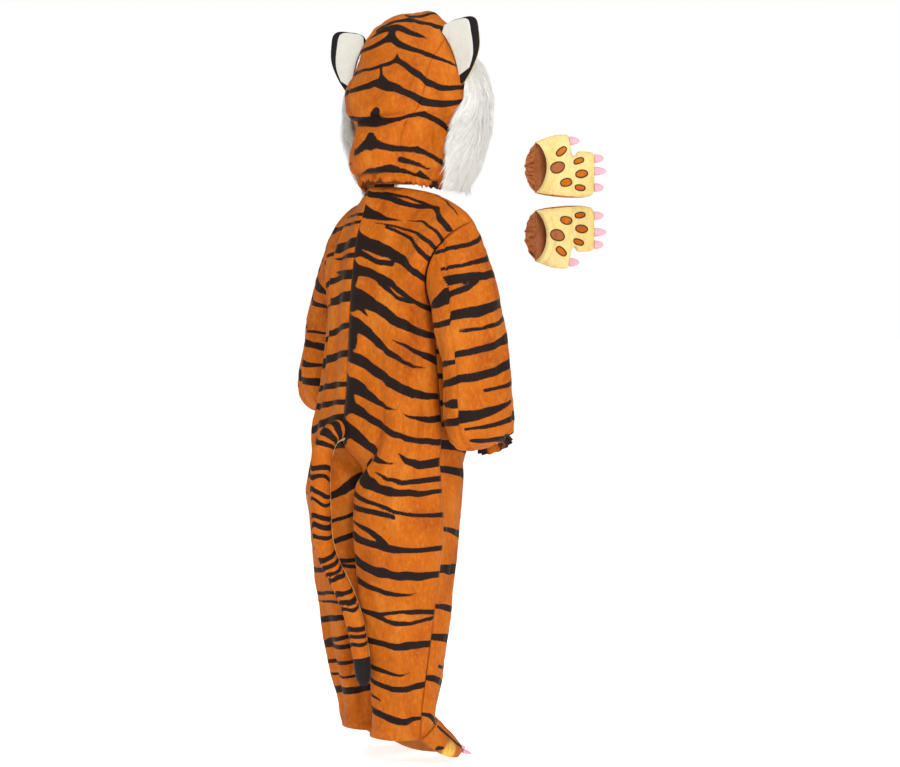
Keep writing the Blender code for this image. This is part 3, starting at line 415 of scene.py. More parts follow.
# %% Plush group
# Depth inside a stripe that stands for no stripe at all, and how far the pile blurs a stripe's edge
NO_STRIPE = -0.02
FUZZ = 0.0009
EDGE_BLUR = 0.0006
TUFTS_ASIDE = 2.6
HAIRS_ASIDE = 2.4
plush, given, result = new_group(
    "plush",
    [("Vector", VECTOR, None), ("Stripe", FLOAT, NO_STRIPE), ("Fuzz", FLOAT, FUZZ),
     ("Cloth", COLOUR, (0.6, 0.2, 0.02, 1.0)), ("Light", COLOUR, (0.8, 0.35, 0.06, 1.0)),
     ("Deep", COLOUR, (0.3, 0.06, 0.005, 1.0)), ("Dark", COLOUR, (0.012, 0.009, 0.01, 1.0)),
     ("Coarse", FLOAT, 1.0)],
    [("Color", COLOUR), ("Roughness", FLOAT), ("Height", FLOAT)],
)
streak = put(plush, "ShaderNodeMapping", {"Vector": given["Vector"], "Scale": (1.0, 1.0, 0.55)})[0]
patches = noise(plush, streak, sums(plush, "MULTIPLY", given["Coarse"], 26.0), 3.0)
tufts = noise(plush, streak, sums(plush, "MULTIPLY", given["Coarse"], 240.0), 4.0, 0.6)
hairs = noise(plush, streak, 1300.0, 2.0, 0.6)
away = sums(plush, "MULTIPLY", sums(plush, "SUBTRACT", tufts, 0.5), TUFTS_ASIDE)
away = sums(plush, "ADD", away, sums(plush, "MULTIPLY", sums(plush, "SUBTRACT", hairs, 0.5), HAIRS_ASIDE))
depth = sums(plush, "MULTIPLY_ADD", away, given["Fuzz"], given["Stripe"])
in_stripe = step(plush, depth, -EDGE_BLUR, EDGE_BLUR)
# Shades over the cloth's colour: pattern, where it starts, where it is full, how much, colour
ground = given["Cloth"]
for pattern, low, high, share, label in (
    (patches, 0.5, 0.74, 0.4, "Light"),
    (patches, 0.5, 0.26, 0.45, "Deep"),
    (tufts, 0.48, 0.74, 0.4, "Light"),
    (tufts, 0.5, 0.26, 0.35, "Deep"),
    (hairs, 0.5, 0.25, 0.3, "Deep"),
):
    ground = blend(plush, step(plush, pattern, low, high, 0.0, share), ground, given[label])
dyed = blend(plush, step(plush, tufts, 0.48, 0.75, 0.0, 0.35), given["Dark"], (0.024, 0.016, 0.015, 1.0))
plush.links.new(blend(plush, in_stripe, ground, dyed), result["Color"])
plush.links.new(step(plush, tufts, 0.3, 0.7, 0.62, 0.86), result["Roughness"])
plush.links.new(sums(plush, "MULTIPLY_ADD", hairs, 0.45, tufts), result["Height"])
print("plush nodes:", len(plush.nodes))

# %% A cloth material
SHEEN_ROUGHNESS = 0.35
SPECULAR = 0.15
BUMP_STRENGTH = 0.6


def cloth_finish(name, colours, attribute=None, coarse=1.0, sheen=0.12, tint=(1.0, 0.62, 0.28), bump=0.0011):
    """A fabric with the plush group's colours. The attribute says where its stripes are."""
    finish = bpy.data.materials.new(name)
    finish.use_nodes = True
    tree = finish.node_tree
    shader = tree.nodes["Principled BSDF"]
    coords = put(tree, "ShaderNodeTexCoord")["Object"]
    nap = tree.nodes.new("ShaderNodeGroup")
    nap.node_tree = plush
    tree.links.new(coords, nap.inputs["Vector"])
    nap.inputs["Fuzz"].default_value = FUZZ
    nap.inputs["Coarse"].default_value = coarse
    for label, colour in zip(("Cloth", "Light", "Deep", "Dark"), colours):
        nap.inputs[label].default_value = (*colour, 1.0)
    if attribute:
        tree.links.new(painted(tree, attribute), nap.inputs["Stripe"])
    tree.links.new(nap.outputs["Color"], shader.inputs["Base Color"])
    tree.links.new(nap.outputs["Roughness"], shader.inputs["Roughness"])
    values = {"Height": nap.outputs["Height"], "Strength": BUMP_STRENGTH, "Distance": bump}
    tree.links.new(put(tree, "ShaderNodeBump", values)["Normal"], shader.inputs["Normal"])
    shader.inputs["Specular IOR Level"].default_value = SPECULAR
    shader.inputs["Sheen Weight"].default_value = sheen
    shader.inputs["Sheen Roughness"].default_value = SHEEN_ROUGHNESS
    shader.inputs["Sheen Tint"].default_value = (*tint, 1.0)
    return finish


def nap_of(finish):
    """A material's plush group, to feed it with more."""
    return next(node for node in finish.node_tree.nodes if node.type == "GROUP")


# %% The fabrics
# Colours of each fabric: cloth, light where the pile stands, deep where it lies, print
ORANGES = ((0.46, 0.104, 0.002), (0.64, 0.225, 0.026), (0.22, 0.028, 0.001), (0.011, 0.005, 0.004))
YELLOWS = ((0.7, 0.54, 0.21), (0.79, 0.66, 0.35), (0.48, 0.32, 0.08), (0.05, 0.02, 0.01))
WHITES = ((0.6, 0.59, 0.525), (0.67, 0.66, 0.61), (0.47, 0.455, 0.4), (0.3, 0.3, 0.3))
CREAMS = ((0.58, 0.43, 0.19), (0.68, 0.55, 0.3), (0.34, 0.21, 0.07), (0.05, 0.03, 0.02))
BLACKS = ((0.01, 0.008, 0.008), (0.03, 0.023, 0.022), (0.004, 0.003, 0.003), (0.01, 0.01, 0.01))
PINKS = ((0.74, 0.36, 0.42), (0.8, 0.47, 0.52), (0.6, 0.23, 0.28), (0.3, 0.05, 0.06))
BACKS = ((0.52, 0.2, 0.05), (0.6, 0.27, 0.09), (0.34, 0.11, 0.02), (0.1, 0.05, 0.02))
BROWNS = ((0.33, 0.1, 0.03), (0.44, 0.15, 0.055), (0.15, 0.036, 0.009), (0.02, 0.01, 0.01))
PALE_TINT = (1.0, 0.95, 0.8)
striped_plush = cloth_finish("striped_orange_plush", ORANGES, "stripe")
yellow_plush = cloth_finish("pale_yellow_plush", YELLOWS, "stripe", tint=PALE_TINT)
white_plush = cloth_finish("white_plush", WHITES, tint=(1.0, 1.0, 1.0))
cream_plush = cloth_finish("cream_plush", CREAMS)
black_plush = cloth_finish("black_plush", BLACKS, tint=(0.9, 0.85, 0.85))
pink_felt = cloth_finish("pink_felt", PINKS, coarse=3.0, sheen=0.2, bump=0.0003)
fabric_back = cloth_finish("fabric_back", BACKS, coarse=4.0, sheen=0.1, bump=0.0003)
brown_lining = cloth_finish("brown_lining", BROWNS, coarse=3.0, sheen=0.3, bump=0.0004)
print("finishes:", len(bpy.data.materials))

# %% [markdown]
# ## The jumpsuit's shape
# Two backs and two fronts meet at the middle, the sides and the shoulders. These tables say how wide and deep
# the trunk and legs are at each height, and where the neckline, the shoulder seam and the armholes run.

# %% Tables of the jumpsuit
LEFT = 1
RIGHT = -1
SIDE_NAMES = {LEFT: "left", RIGHT: "right"}
# Heights of the suit
CHEST_Z = -0.172
HIP_Z = -0.35
CROTCH_Z = -0.432
HEM_Z = {LEFT: -0.773, RIGHT: -0.769}
# Trunk of the suit: z, half width, half depth, y of the middle, squareness, ridge at the centre back
TRUNK_ROWS = (
    (-0.39, 0.118, 0.083, 0.03, 3.1, 0.003), (-0.34, 0.119, 0.0815, 0.0295, 3.2, 0.004),
    (-0.297, 0.113, 0.0765, 0.029, 3.1, 0.004), (-0.24, 0.106, 0.071, 0.029, 3.0, 0.005),
    (-0.172, 0.099, 0.0675, 0.028, 3.0, 0.006),
)
# Legs: z, half width, half depth, inner side from the middle plane, squareness, turn of the side seam
LEG_ROWS = (
    (-0.78, 0.0435, 0.045, 0.0112, 2.5, 90.0), (-0.732, 0.043, 0.045, 0.012, 2.5, 90.0),
    (-0.687, 0.044, 0.05, 0.011, 2.5, 90.0), (-0.575, 0.056, 0.064, 0.0035, 2.5, 92.0),
    (-0.478, 0.06, 0.076, 0.0012, 2.5, 94.0), (-0.432, 0.06, 0.079, 0.0003, 2.6, 92.0),
    (-0.39, 0.06, 0.08, 0.0003, 2.6, 90.0), (-0.34, 0.06, 0.08, 0.0003, 2.6, 90.0),
)
# Middle of each leg: z, y on the left, y on the right
LEG_MIDDLES = (
    (-0.78, 0.015, 0.0525), (-0.732, 0.0195, 0.049), (-0.687, 0.0287, 0.043), (-0.575, 0.032, 0.0455),
    (-0.478, 0.034, 0.0446), (-0.432, 0.037, 0.04), (-0.39, 0.038, 0.038), (-0.34, 0.038, 0.038),
)
# Half neckline from the centre back to the shoulder seam: share, x, y, z
NECK_BACK = (
    (0.0, 0.0, 0.066, 0.0025), (0.35, 0.022, 0.05, 0.003), (0.7, 0.044, 0.03, 0.001),
    (1.0, 0.061, 0.005, -0.004),
)
# Half neckline from the centre front to the shoulder seam
NECK_FRONT = (
    (0.0, 0.0, -0.047, -0.018), (0.35, 0.027, -0.043, -0.0155), (0.7, 0.052, -0.024, -0.009),
    (1.0, 0.061, 0.005, -0.004),
)
# Shoulder seam from the neck to the armhole
SHOULDER = (
    (0.0, 0.061, 0.005, -0.004), (0.3, 0.086, 0.003, -0.0115), (0.57, 0.109, 0.0015, -0.0205),
    (0.8, 0.128, -0.0005, -0.0325), (1.0, 0.142, -0.002, -0.048),
)
# Centre back and centre front lines of the yoke: share, y, z
CENTRE_BACK = (
    (0.0, 0.066, 0.0025), (0.22, 0.0795, -0.0385), (0.38, 0.0885, -0.064), (0.6, 0.095, -0.101),
    (0.8, 0.0995, -0.1387), (1.0, 0.1015, -0.172),
)
CENTRE_FRONT = (
    (0.0, -0.047, -0.018), (0.3, -0.048, -0.06), (0.65, -0.044, -0.115), (1.0, -0.0395, -0.172),
)
# Armholes from the shoulder seam to the underarm: share, x, y, z
ARMHOLE_BACK = (
    (0.0, 0.142, -0.002, -0.048), (0.18, 0.139, 0.019, -0.057), (0.36, 0.131, 0.037, -0.072),
    (0.55, 0.12, 0.051, -0.096), (0.73, 0.109, 0.053, -0.126), (0.88, 0.102, 0.043, -0.154),
    (1.0, 0.099, 0.028, -0.172),
)
ARMHOLE_FRONT = (
    (0.0, 0.142, -0.002, -0.048), (0.22, 0.138, -0.02, -0.063), (0.45, 0.127, -0.031, -0.09),
    (0.68, 0.113, -0.026, -0.123), (0.86, 0.103, -0.001, -0.156), (1.0, 0.099, 0.028, -0.172),
)
# Share of a panel's top edge that is neckline, lift of the shoulders
NECK_SHARE = 0.42
SHOULDER_LIFT = 0.007
# Vertical soft folds of the trunk and legs: share across the back panel, top z, bottom z, depth, half width
BACK_FOLDS = (
    (0.3, -0.16, -0.75, 0.003, 0.085), (0.62, -0.2, -0.7, 0.0035, 0.09),
    (0.84, -0.12, -0.5, 0.004, 0.07),
)
FRONT_FOLDS = (
    (0.35, -0.2, -0.72, 0.003, 0.09), (0.7, -0.14, -0.6, 0.0035, 0.09),
)

print("rows of the trunk and of a leg:", len(TRUNK_ROWS), len(LEG_ROWS))

# %% Points on the jumpsuit
# Folds draw the cloth towards a line that lies this share of the way from the middle to the side seam
FOLD_CENTRE = 0.5


def trunk_point(turn, z):
    """A point of the left half of the trunk. The turn goes from 0 at the centre back to 180 at the front."""
    half_width, half_depth, middle, square, ridge = follow(TRUNK_ROWS, z)
    angle = math.radians(turn)
    across = power(math.sin(angle), 2 / square)
    along = power(math.cos(angle), 2 / square)
    y = middle + half_depth * along
    if along > 0:
        y += ridge * (1 - across) ** 1.5
    return half_width * across, y


def leg_point(side, turn, z):
    """A point of a leg. The turn goes once round the leg, from the inner seam over the back."""
    half_width, half_depth, inner, square = follow(LEG_ROWS, z)[:4]
    middle = follow(LEG_MIDDLES, z)[0 if side == LEFT else 1]
    angle = math.radians(2 * turn)
    x = inner + half_width * (1 - power(math.cos(angle), 2 / square))
    y = middle + half_depth * power(math.sin(angle), 2 / square)
    return x, y


def suit_point(side, turn, z):
    """A point of the suit below the chest. The trunk passes into the legs between hip and crotch."""
    share = ease((HIP_Z - z) / (HIP_Z - CROTCH_Z))
    trunk = trunk_point(turn, max(z, TRUNK_ROWS[0][0]))
    leg = leg_point(side, turn, min(z, LEG_ROWS[-1][0]))
    x = (1 - share) * trunk[0] + share * leg[0]
    y = (1 - share) * trunk[1] + share * leg[1]
    return Vector((side * x, y, z))


def fold_depth(folds, share, z):
    """How far the soft vertical folds draw the cloth in."""
    depth = 0.0
    for place, top, bottom, deep, half_width in folds:
        if bottom < z < top:
            fade = math.sin(math.pi * (z - bottom) / (top - bottom)) ** 0.5
            depth += deep * fade * math.exp(-((share - place) / half_width) ** 2)
    return depth


def side_turn(z):
    """Where the side seam runs, in degrees round from the centre back."""
    return float(follow(LEG_ROWS, min(z, LEG_ROWS[-1][0]))[4]) if z < LEG_ROWS[-1][0] else 90.0


def panel_point(side, front, share, z):
    """A point of a front or back panel, by its share of the way from the middle line to the side seam."""
    seam = side_turn(z)
    turn = 180 - share * (180 - seam) if front else share * seam
    point = suit_point(side, turn, z)
    middle = suit_point(side, 90, z)
    middle.x *= FOLD_CENTRE
    inwards = Vector((middle.x - point.x, middle.y - point.y, 0)).normalized()
    return point + inwards * fold_depth(FRONT_FOLDS if front else BACK_FOLDS, share, z)


def between_edges(top, bottom, left, right, across, down):
    """A point between four curves, blended from them all. The left and right curves run downwards."""
    point = top(across) * (1 - down) + bottom(across) * down
    point += left(down) * (1 - across) + right(down) * across
    point -= top(0) * (1 - across) * (1 - down) + top(1) * across * (1 - down)
    point -= bottom(0) * (1 - across) * down + bottom(1) * across * down
    return point


def yoke_point(side, front, share, down):
    """A point of the panel above the chest, between neck, shoulder, armhole and centre line."""
    neck = NECK_FRONT if front else NECK_BACK
    centre = CENTRE_FRONT if front else CENTRE_BACK
    armhole = ARMHOLE_FRONT if front else ARMHOLE_BACK

    def top(at):
        if at < NECK_SHARE:
            return Vector(follow(neck, at / NECK_SHARE))
        return Vector(follow(SHOULDER, (at - NECK_SHARE) / (1 - NECK_SHARE)))

    def bottom(at):
        return panel_point(LEFT, front, at, CHEST_Z)

    def middle(at):
        return Vector((0.0, *follow(centre, at)))

    def edge(at):
        return Vector(follow(armhole, at))

    point = between_edges(top, bottom, middle, edge, share, down)
    point.z += SHOULDER_LIFT * math.sin(math.pi * share) ** 0.6 * math.sin(math.pi * down ** 0.6)
    point.x *= side
    return point


print("half width at the chest:", round(float(trunk_point(90, CHEST_Z)[0]), 4))

# %% [markdown]
# ## Stripes
# Each tiger stripe is one stroke: where it starts and ends, how far it sags between, and its width at the
# start, the middle and the end, in millimetres. On a panel, the first number of a place is the share of the
# way from the centre seam to the side seam, and the second is the height in millimetres from the neck.
# The cloth keeps, at each of its points, how deep that point lies inside a stripe, and the plush turns this
# into a dark, slightly furry print.

# %% From strokes to stripes
MM = 0.001
# Where strokes meet, they flow into each other over about this length
MERGE = 0.0013
# How far a stroke wavers to its sides, and the length of one waver in each direction
WAVER = 0.0016
WAVER_SIZES = (0.013, 0.017)
LEAST_WIDTH = 0.2
STROKE_PIECES = 10


def flat_place(scale, shift=0.0):
    """How strokes lie on flat cloth: the first number times a scale, and the second in millimetres."""
    def place(p, q):
        return np.stack([p * scale, (q + shift) * MM], axis=1)

    return place


def stripe_depth(coords, strokes, place, waver=WAVER):
    """How deep each point is inside the nearest stroke, in metres. Outside it the depth is below zero."""
    first = coords[..., 0]
    second = coords[..., -1]
    coords = coords.copy()
    coords[..., 0] += 2 * waver * hills(first, second, WAVER_SIZES[0], 11)
    coords[..., -1] += 2 * waver * hills(first, second, WAVER_SIZES[1], 12)
    blended = np.full(first.shape, math.exp(NO_STRIPE / MERGE))
    t = np.array(shares(STROKE_PIECES + 1))
    for start_p, start_q, end_p, end_q, sag, *widths in strokes:
        p = start_p + (end_p - start_p) * t
        q = start_q + (end_q - start_q) * t - sag * 4 * t * (1 - t)
        middle = place(p, q)
        half = widths[0] * (2 * t - 1) * (t - 1) + widths[1] * 4 * t * (1 - t) + widths[2] * (2 * t - 1) * t
        half = np.maximum(half, LEAST_WIDTH) * MM / 2
        deepest = np.full(first.shape, NO_STRIPE)
        for k in range(STROKE_PIECES):
            way = middle[k + 1] - middle[k]
            at = np.clip(((coords - middle[k]) @ way) / max(way @ way, 1e-12), 0.0, 1.0)
            away = np.linalg.norm(coords - middle[k] - at[..., None] * way, axis=-1)
            deepest = np.maximum(deepest, half[k] + (half[k + 1] - half[k]) * at - away)
        blended += np.exp(deepest / MERGE)
    return MERGE * np.log(blended)


print("a stroke has", STROKE_PIECES, "straight pieces, and wavers by", WAVER)

# %% Strokes of the jumpsuit
RIGHT_BACK_STROKES = (
    (-0.03, -1, 0.28, -9, 0, 9, 9, 8), (0.26, -10, 0.68, -12, 0, 8, 7, 7),
    (0.66, -12, 0.98, -40, 0, 7, 8, 8), (0.16, -1, 0.56, -10, -5, 5, 4, 5),
    (0.5, 16, 0.93, -12, -4, 1, 3, 1), (-0.03, -27, 0.36, -40, 3, 21, 10, 1),
    (0.4, -37, 1.03, -60, -6, 1, 4, 5), (0.14, -46, 1.03, -75, -4, 1, 5, 6),
    (0.26, -52, 1.05, -94, 0, 4, 6, 7), (-0.03, -59, 0.01, -92, 0, 14, 17, 10),
    (-0.03, -68, 1.05, -123, 3, 20, 14, 9), (0.05, -90, 0.42, -106, 4, 8, 8, 8),
    (-0.03, -102, 0.0, -131, 0, 12, 17, 12), (0.0, -113, 1.05, -172, -4, 16, 9, 11),
    (0.29, -131, 0.76, -158, 6, 7, 6, 6), (-0.03, -133, 0.01, -168, 0, 13, 18, 12),
    (0.0, -148, 1.05, -208, 8, 22, 15, 8), (0.04, -163, 0.13, -179, 0, 7, 5, 1),
    (-0.02, -182, 0.01, -222, 0, 13, 18, 14), (0.02, -188, 0.9, -251, 14, 16, 9, 1),
    (0.45, -211, 1.05, -243, 0, 1, 7, 12), (-0.03, -230, 1.05, -292, 14, 13, 14, 7),
    (-0.02, -263, 0.0, -314, 0, 12, 20, 14), (0.02, -274, 0.52, -309, 6, 18, 9, 0),
    (0.58, -313, 1.05, -320, 4, 1, 7, 11), (-0.03, -301, 1.05, -354, 14, 14, 9, 9),
    (-0.03, -320, 0.0, -356, 0, 12, 18, 8), (0.0, -333, 0.62, -383, 13, 15, 9, 1),
    (0.57, -368, 1.05, -378, 10, 1, 10, 13), (0.47, -395, 1.05, -402, 9, 1, 7, 9),
    (0.25, -386, 0.5, -412, 3, 17, 17, 13), (0.48, -412, 1.05, -421, 6, 13, 10, 5),
    (0.2, -407, 1.05, -456, 12, 7, 6, 7), (0.22, -437, 0.7, -456, 0, 9, 8, 7),
    (0.36, -464, 0.62, -493, -4, 4, 8, 10), (0.6, -497, 1.05, -499, 3, 10, 8, 7),
    (0.26, -471, 0.64, -497, 5, 10, 10, 9), (0.26, -499, 0.6, -533, 6, 11, 12, 13),
    (0.58, -533, 1.05, -537, 3, 13, 12, 10), (0.24, -529, 0.88, -562, 13, 9, 8, 2),
    (0.5, -594, 1.05, -592, -5, 6, 6, 7), (0.5, -594, 1.02, -597, 9, 5, 6, 4),
    (0.28, -579, 0.53, -595, 1, 3, 6, 9), (0.31, -589, 0.42, -604, 2, 3, 4, 1),
    (0.26, -620, 1.05, -635, 8, 7, 10, 10), (0.28, -655, 0.86, -676, 7, 7, 6, 1),
    (0.26, -672, 1.05, -692, 14, 4, 8, 8), (0.27, -682, 0.54, -714, 5, 5, 5, 3),
    (0.27, -712, 1.05, -738, 14, 6, 10, 4), (-0.03, -505, 0.14, -498, 4, 8, 6, 1),
    (-0.03, -560, 0.24, -552, 5, 7, 8, 2), (-0.03, -600, 0.3, -592, 5, 9, 7, 2),
    (-0.03, -640, 0.26, -634, 4, 7, 6, 2), (-0.03, -690, 0.24, -680, 5, 8, 7, 2),
    (-0.03, -728, 0.26, -722, 4, 6, 6, 2),
)
LEFT_BACK_STROKES = (
    (-0.03, -1, 0.8, 6, 0, 8, 7, 5), (0.84, -6, 1.05, -9, 0, 3, 4, 3), (-0.03, -34, 0.6, -26, 0, 5, 5, 2),
    (-0.03, -45, 1.05, -46, 1, 5, 6, 6), (0.45, -42, 1.02, -66, 0, 5, 6, 7),
    (-0.03, -73, 0.3, -82, 1, 13, 13, 11), (0.25, -84, 0.95, -99, 0, 9, 6, 7),
    (-0.03, -92, 0.27, -97, 1, 9, 6, 3), (-0.03, -116, 0.24, -118, 1, 7, 6, 3),
    (-0.03, -122, 1.05, -139, 3, 8, 8, 8), (-0.03, -149, 0.28, -160, 1, 15, 14, 12),
    (0.33, -166, 0.75, -178, 2, 4, 6, 3), (-0.03, -190, 0.78, -216, 6, 7, 9, 5),
    (0.6, -196, 1.05, -204, 2, 2, 6, 8), (-0.03, -230, 1.05, -258, 4, 9, 13, 9),
    (-0.03, -274, 0.85, -284, 3, 7, 9, 4), (0.55, -286, 1.05, -298, 2, 2, 7, 8),
    (-0.03, -300, 1.05, -312, 3, 8, 9, 7), (-0.03, -322, 1.05, -352, 6, 13, 11, 7),
    (-0.03, -356, 0.7, -376, 8, 12, 8, 2), (0.3, -378, 1.05, -394, 6, 3, 8, 9),
    (0.4, -398, 0.9, -410, 2, 11, 11, 4), (-0.03, -402, 0.5, -443, 0, 13, 12, 8),
    (0.6, -432, 1.05, -436, 1, 4, 5, 5), (0.05, -448, 0.55, -484, 0, 6, 6, 5),
    (0.7, -470, 1.05, -476, 1, 2, 8, 8), (0.05, -477, 0.55, -512, 1, 6, 8, 5),
    (0.05, -519, 0.45, -529, 1, 5, 6, 6), (0.05, -533, 0.45, -534, 0, 4, 5, 5),
    (0.48, -541, 1.05, -548, 2, 7, 9, 7), (0.4, -574, 1.05, -580, 1, 5, 6, 6),
    (0.32, -586, 0.75, -590, 1, 5, 4, 1), (0.05, -601, 1.05, -620, 3, 7, 9, 9),
    (0.12, -628, 0.75, -653, -1, 6, 7, 6), (0.12, -645, 0.75, -653, 3, 6, 7, 6),
    (0.7, -653, 1.05, -652, 0, 6, 6, 6), (0.05, -670, 1.05, -676, 3, 5, 6, 6),
    (0.05, -692, 1.05, -697, 1, 3, 4, 4), (0.03, -706, 1.05, -722, 4, 8, 11, 11),
    (0.0, -757, 0.14, -764, 0, 5, 5, 3),
)
SIDE_STROKES = (
    (1.0, -196, 0.35, -214, 4, 8, 9, 3), (1.0, -228, 0.45, -240, 3, 7, 8, 2),
    (1.0, -262, 0.25, -282, 5, 9, 10, 3), (1.0, -300, 0.4, -312, 3, 8, 9, 2),
    (1.0, -330, 0.3, -346, 5, 7, 9, 3), (1.0, -357, 0.4, -370, 2, 13, 14, 6),
    (1.0, -391, 0.35, -411, 2, 10, 14, 7), (1.0, -474, 0.35, -500, 2, 6, 8, 4),
    (1.0, -530, 0.5, -537, 2, 12, 13, 5), (1.0, -582, 0.45, -594, 3, 6, 8, 4),
    (1.0, -625, 0.4, -641, 2, 9, 12, 6), (0.9, -670, 0.7, -676, 0, 5, 5, 3),
    (1.0, -684, 0.45, -704, 3, 8, 8, 3), (1.0, -733, 0.55, -755, 4, 5, 7, 5),
)
CENTRE_STROKES = (
    (0.0, -30, 0.7, -60, -4, 10, 8, 3), (0.0, -70, 0.95, -92, 5, 8, 9, 6),
    (0.0, -104, 0.8, -128, 6, 11, 9, 3), (0.0, -140, 0.95, -160, 7, 8, 10, 7),
    (0.0, -178, 0.55, -192, 5, 10, 8, 2), (0.0, -216, 0.6, -228, 6, 9, 9, 3),
    (0.0, -250, 0.5, -262, 5, 11, 8, 2), (0.0, -288, 0.55, -300, 6, 9, 9, 3),
    (0.0, -322, 0.6, -336, 6, 10, 9, 2), (0.0, -356, 0.45, -372, 5, 11, 8, 2),
    (0.0, -396, 0.4, -410, 5, 9, 9, 3), (0.0, -446, 0.38, -462, 5, 10, 8, 2),
    (0.0, -486, 0.4, -498, 5, 8, 9, 3), (0.0, -520, 0.45, -534, 5, 10, 8, 2),
    (0.0, -556, 0.42, -568, 5, 8, 9, 3), (0.0, -592, 0.4, -606, 5, 9, 8, 2),
    (0.0, -628, 0.42, -640, 5, 8, 8, 3), (0.0, -664, 0.45, -678, 5, 9, 8, 2),
    (0.0, -702, 0.5, -716, 5, 8, 8, 3), (0.0, -738, 0.4, -748, 4, 7, 6, 2),
)
# Half of the suit's cloth from the centre seam to the side seam: height, width
PANEL_WIDTHS = ((-0.78, 0.14), (-0.575, 0.185), (-0.43, 0.21), (-0.34, 0.185), (-0.172, 0.155),
                (0.01, 0.14))


def panel_width(z):
    """Width of a panel's cloth at a height."""
    heights, widths = np.array(PANEL_WIDTHS).T
    return np.interp(z, heights, widths)


def panel_place(share, height):
    """How strokes lie on a panel: by the share of its width, and the height in millimetres."""
    return np.stack([share * panel_width(height * MM), height * MM], axis=1)


print("strokes on the right back:", len(RIGHT_BACK_STROKES))

# %% [markdown]
# ## Backs and fronts
# Each panel is one sheet from the shoulder to the hem. The plush hangs in soft troughs that run down the
# cloth, and a seam draws it in a little along every edge. A Solidify modifier gives the wall, towards the
# inside.

# %% A panel of the jumpsuit
PANEL_COLUMNS = 21
YOKE_ROWS = 12
LOWER_ROWS = 41
# How much finer the grid of the real cloth is, down and across: a front, a back
FRONT_FINER = (5, 3)
BACK_FINER = (7, 4)
# Depths of the long troughs, of the rumples between them and of the small ripples
TROUGHS = 0.013
RUMPLES = 0.0034
RIPPLES = 0.0009
# Height under the neck over which the troughs grow, and heights over the hem where they end on the fronts
TROUGHS_GROW = 0.1
TROUGHS_END = (0.03, 0.08)
# Beside a seam the cloth is held down to a part of its folds
SEAM_HOLD = 0.012
SEAM_SHARE = 0.15
PANEL_SINK = 0.0003


def suit_panel(side, front):
    """One panel, from the shoulder to the hem and from the middle seam to the side seam."""
    coarse = []
    for down in shares(YOKE_ROWS + 1)[:-1]:
        coarse.append([(*yoke_point(side, front, share, down), share) for share in shares(PANEL_COLUMNS)])
    for down in shares(LOWER_ROWS):
        z = CHEST_Z + (HEM_Z[side] - CHEST_Z) * down
        coarse.append([(*panel_point(side, front, share, z), share) for share in shares(PANEL_COLUMNS)])
    finer = FRONT_FINER if front else BACK_FINER
    fine = refine(coarse, *finer)
    points = fine[..., :3]
    height = points[..., 2].copy()
    across = fine[..., 3] * panel_width(height)
    inside = (side * 0.05, 0.03, -0.3)
    seed = 20 + 3 * side + 7 * front
    hang = ramp(-height, 0.0, TROUGHS_GROW)
    if front:
        hang *= ramp(height - HEM_Z[side], *TROUGHS_END)
    depth = TROUGHS * hills(across, height * 0.1, 0.024, seed) * hang
    depth += RUMPLES * hills(across + 0.2 * height, height * 0.25, 0.014, seed + 1)
    depth += RIPPLES * hills(across, height, 0.007, seed + 2)
    near = edge_distance(points)
    depth = depth * np.clip(near / SEAM_HOLD, SEAM_SHARE, 1.0) - seam_dip(near)
    points = draw_in(push_out(points, inside, depth - PANEL_SINK), SEAM_GAP / 2)
    if front:
        strokes = SIDE_STROKES + CENTRE_STROKES
    else:
        strokes = RIGHT_BACK_STROKES if side == RIGHT else LEFT_BACK_STROKES
    # Over the chest the strokes' heights count along the cloth, up to the shoulder
    chest = YOKE_ROWS * finer[0]
    level = height.copy()
    level[:chest] = CHEST_Z + way_down(points[chest::-1])[:0:-1]
    stripe = stripe_depth(np.stack([across, level], axis=2), strokes, panel_place)
    striped_cloth(("front_" if front else "back_") + SIDE_NAMES[side], points, inside, {"stripe": stripe})


for side in (LEFT, RIGHT):
    for front in (False, True):
        suit_panel(side, front)

# %% [markdown]
# ## Sleeves and cuffs
# A sleeve is a wide tube set into the armhole. An elastic gathers its lower end, so the cloth bulges over it
# in small pleats, and what is left below the elastic stands out as a short ruffle.

# %% Shape of the sleeves
# Rings of a sleeve: x, y, z, half width, half depth, tilt in degrees that lifts the front, wave height
SLEEVE_ROWS = {
    RIGHT: (
        (0.1545, 0.0095, -0.2, 0.044, 0.0515, 0.0, 0.0),
        (0.16, 0.0045, -0.25, 0.044, 0.0505, 0.0, 0.0),
        (0.1635, 0.004, -0.295, 0.045, 0.052, 4.0, 0.0),
        (0.1655, 0.0035, -0.325, 0.0465, 0.052, 12.0, 0.0006),
        (0.1665, -0.0005, -0.344, 0.042, 0.046, 19.0, 0.0016),
        (0.1675, -0.011, -0.35, 0.033, 0.0355, 23.0, 0.0022),
        (0.168, -0.02, -0.351, 0.0235, 0.024, 25.0, 0.0016),
    ),
    LEFT: (
        (0.1545, 0.004, -0.195, 0.044, 0.05, 0.0, 0.0),
        (0.16, 0.0065, -0.235, 0.044, 0.05, 0.0, 0.0),
        (0.164, 0.0085, -0.265, 0.045, 0.05, 4.0, 0.0),
        (0.165, 0.006, -0.287, 0.0455, 0.049, 14.0, 0.0006),
        (0.165, 0.0, -0.301, 0.041, 0.043, 22.0, 0.0016),
        (0.165, -0.01, -0.307, 0.033, 0.034, 26.0, 0.0022),
        (0.165, -0.019, -0.308, 0.0235, 0.024, 28.0, 0.0016),
    ),
}
SLEEVE_WAVES = 8
CAP_SWELL = 0.006
ARMHOLE_STEP = 0.0012
CUFF_WAVES = 12
CUFF_LENGTH = 0.009
CUFF_FLARE = 0.0022
CUFF_INSET = 0.0005


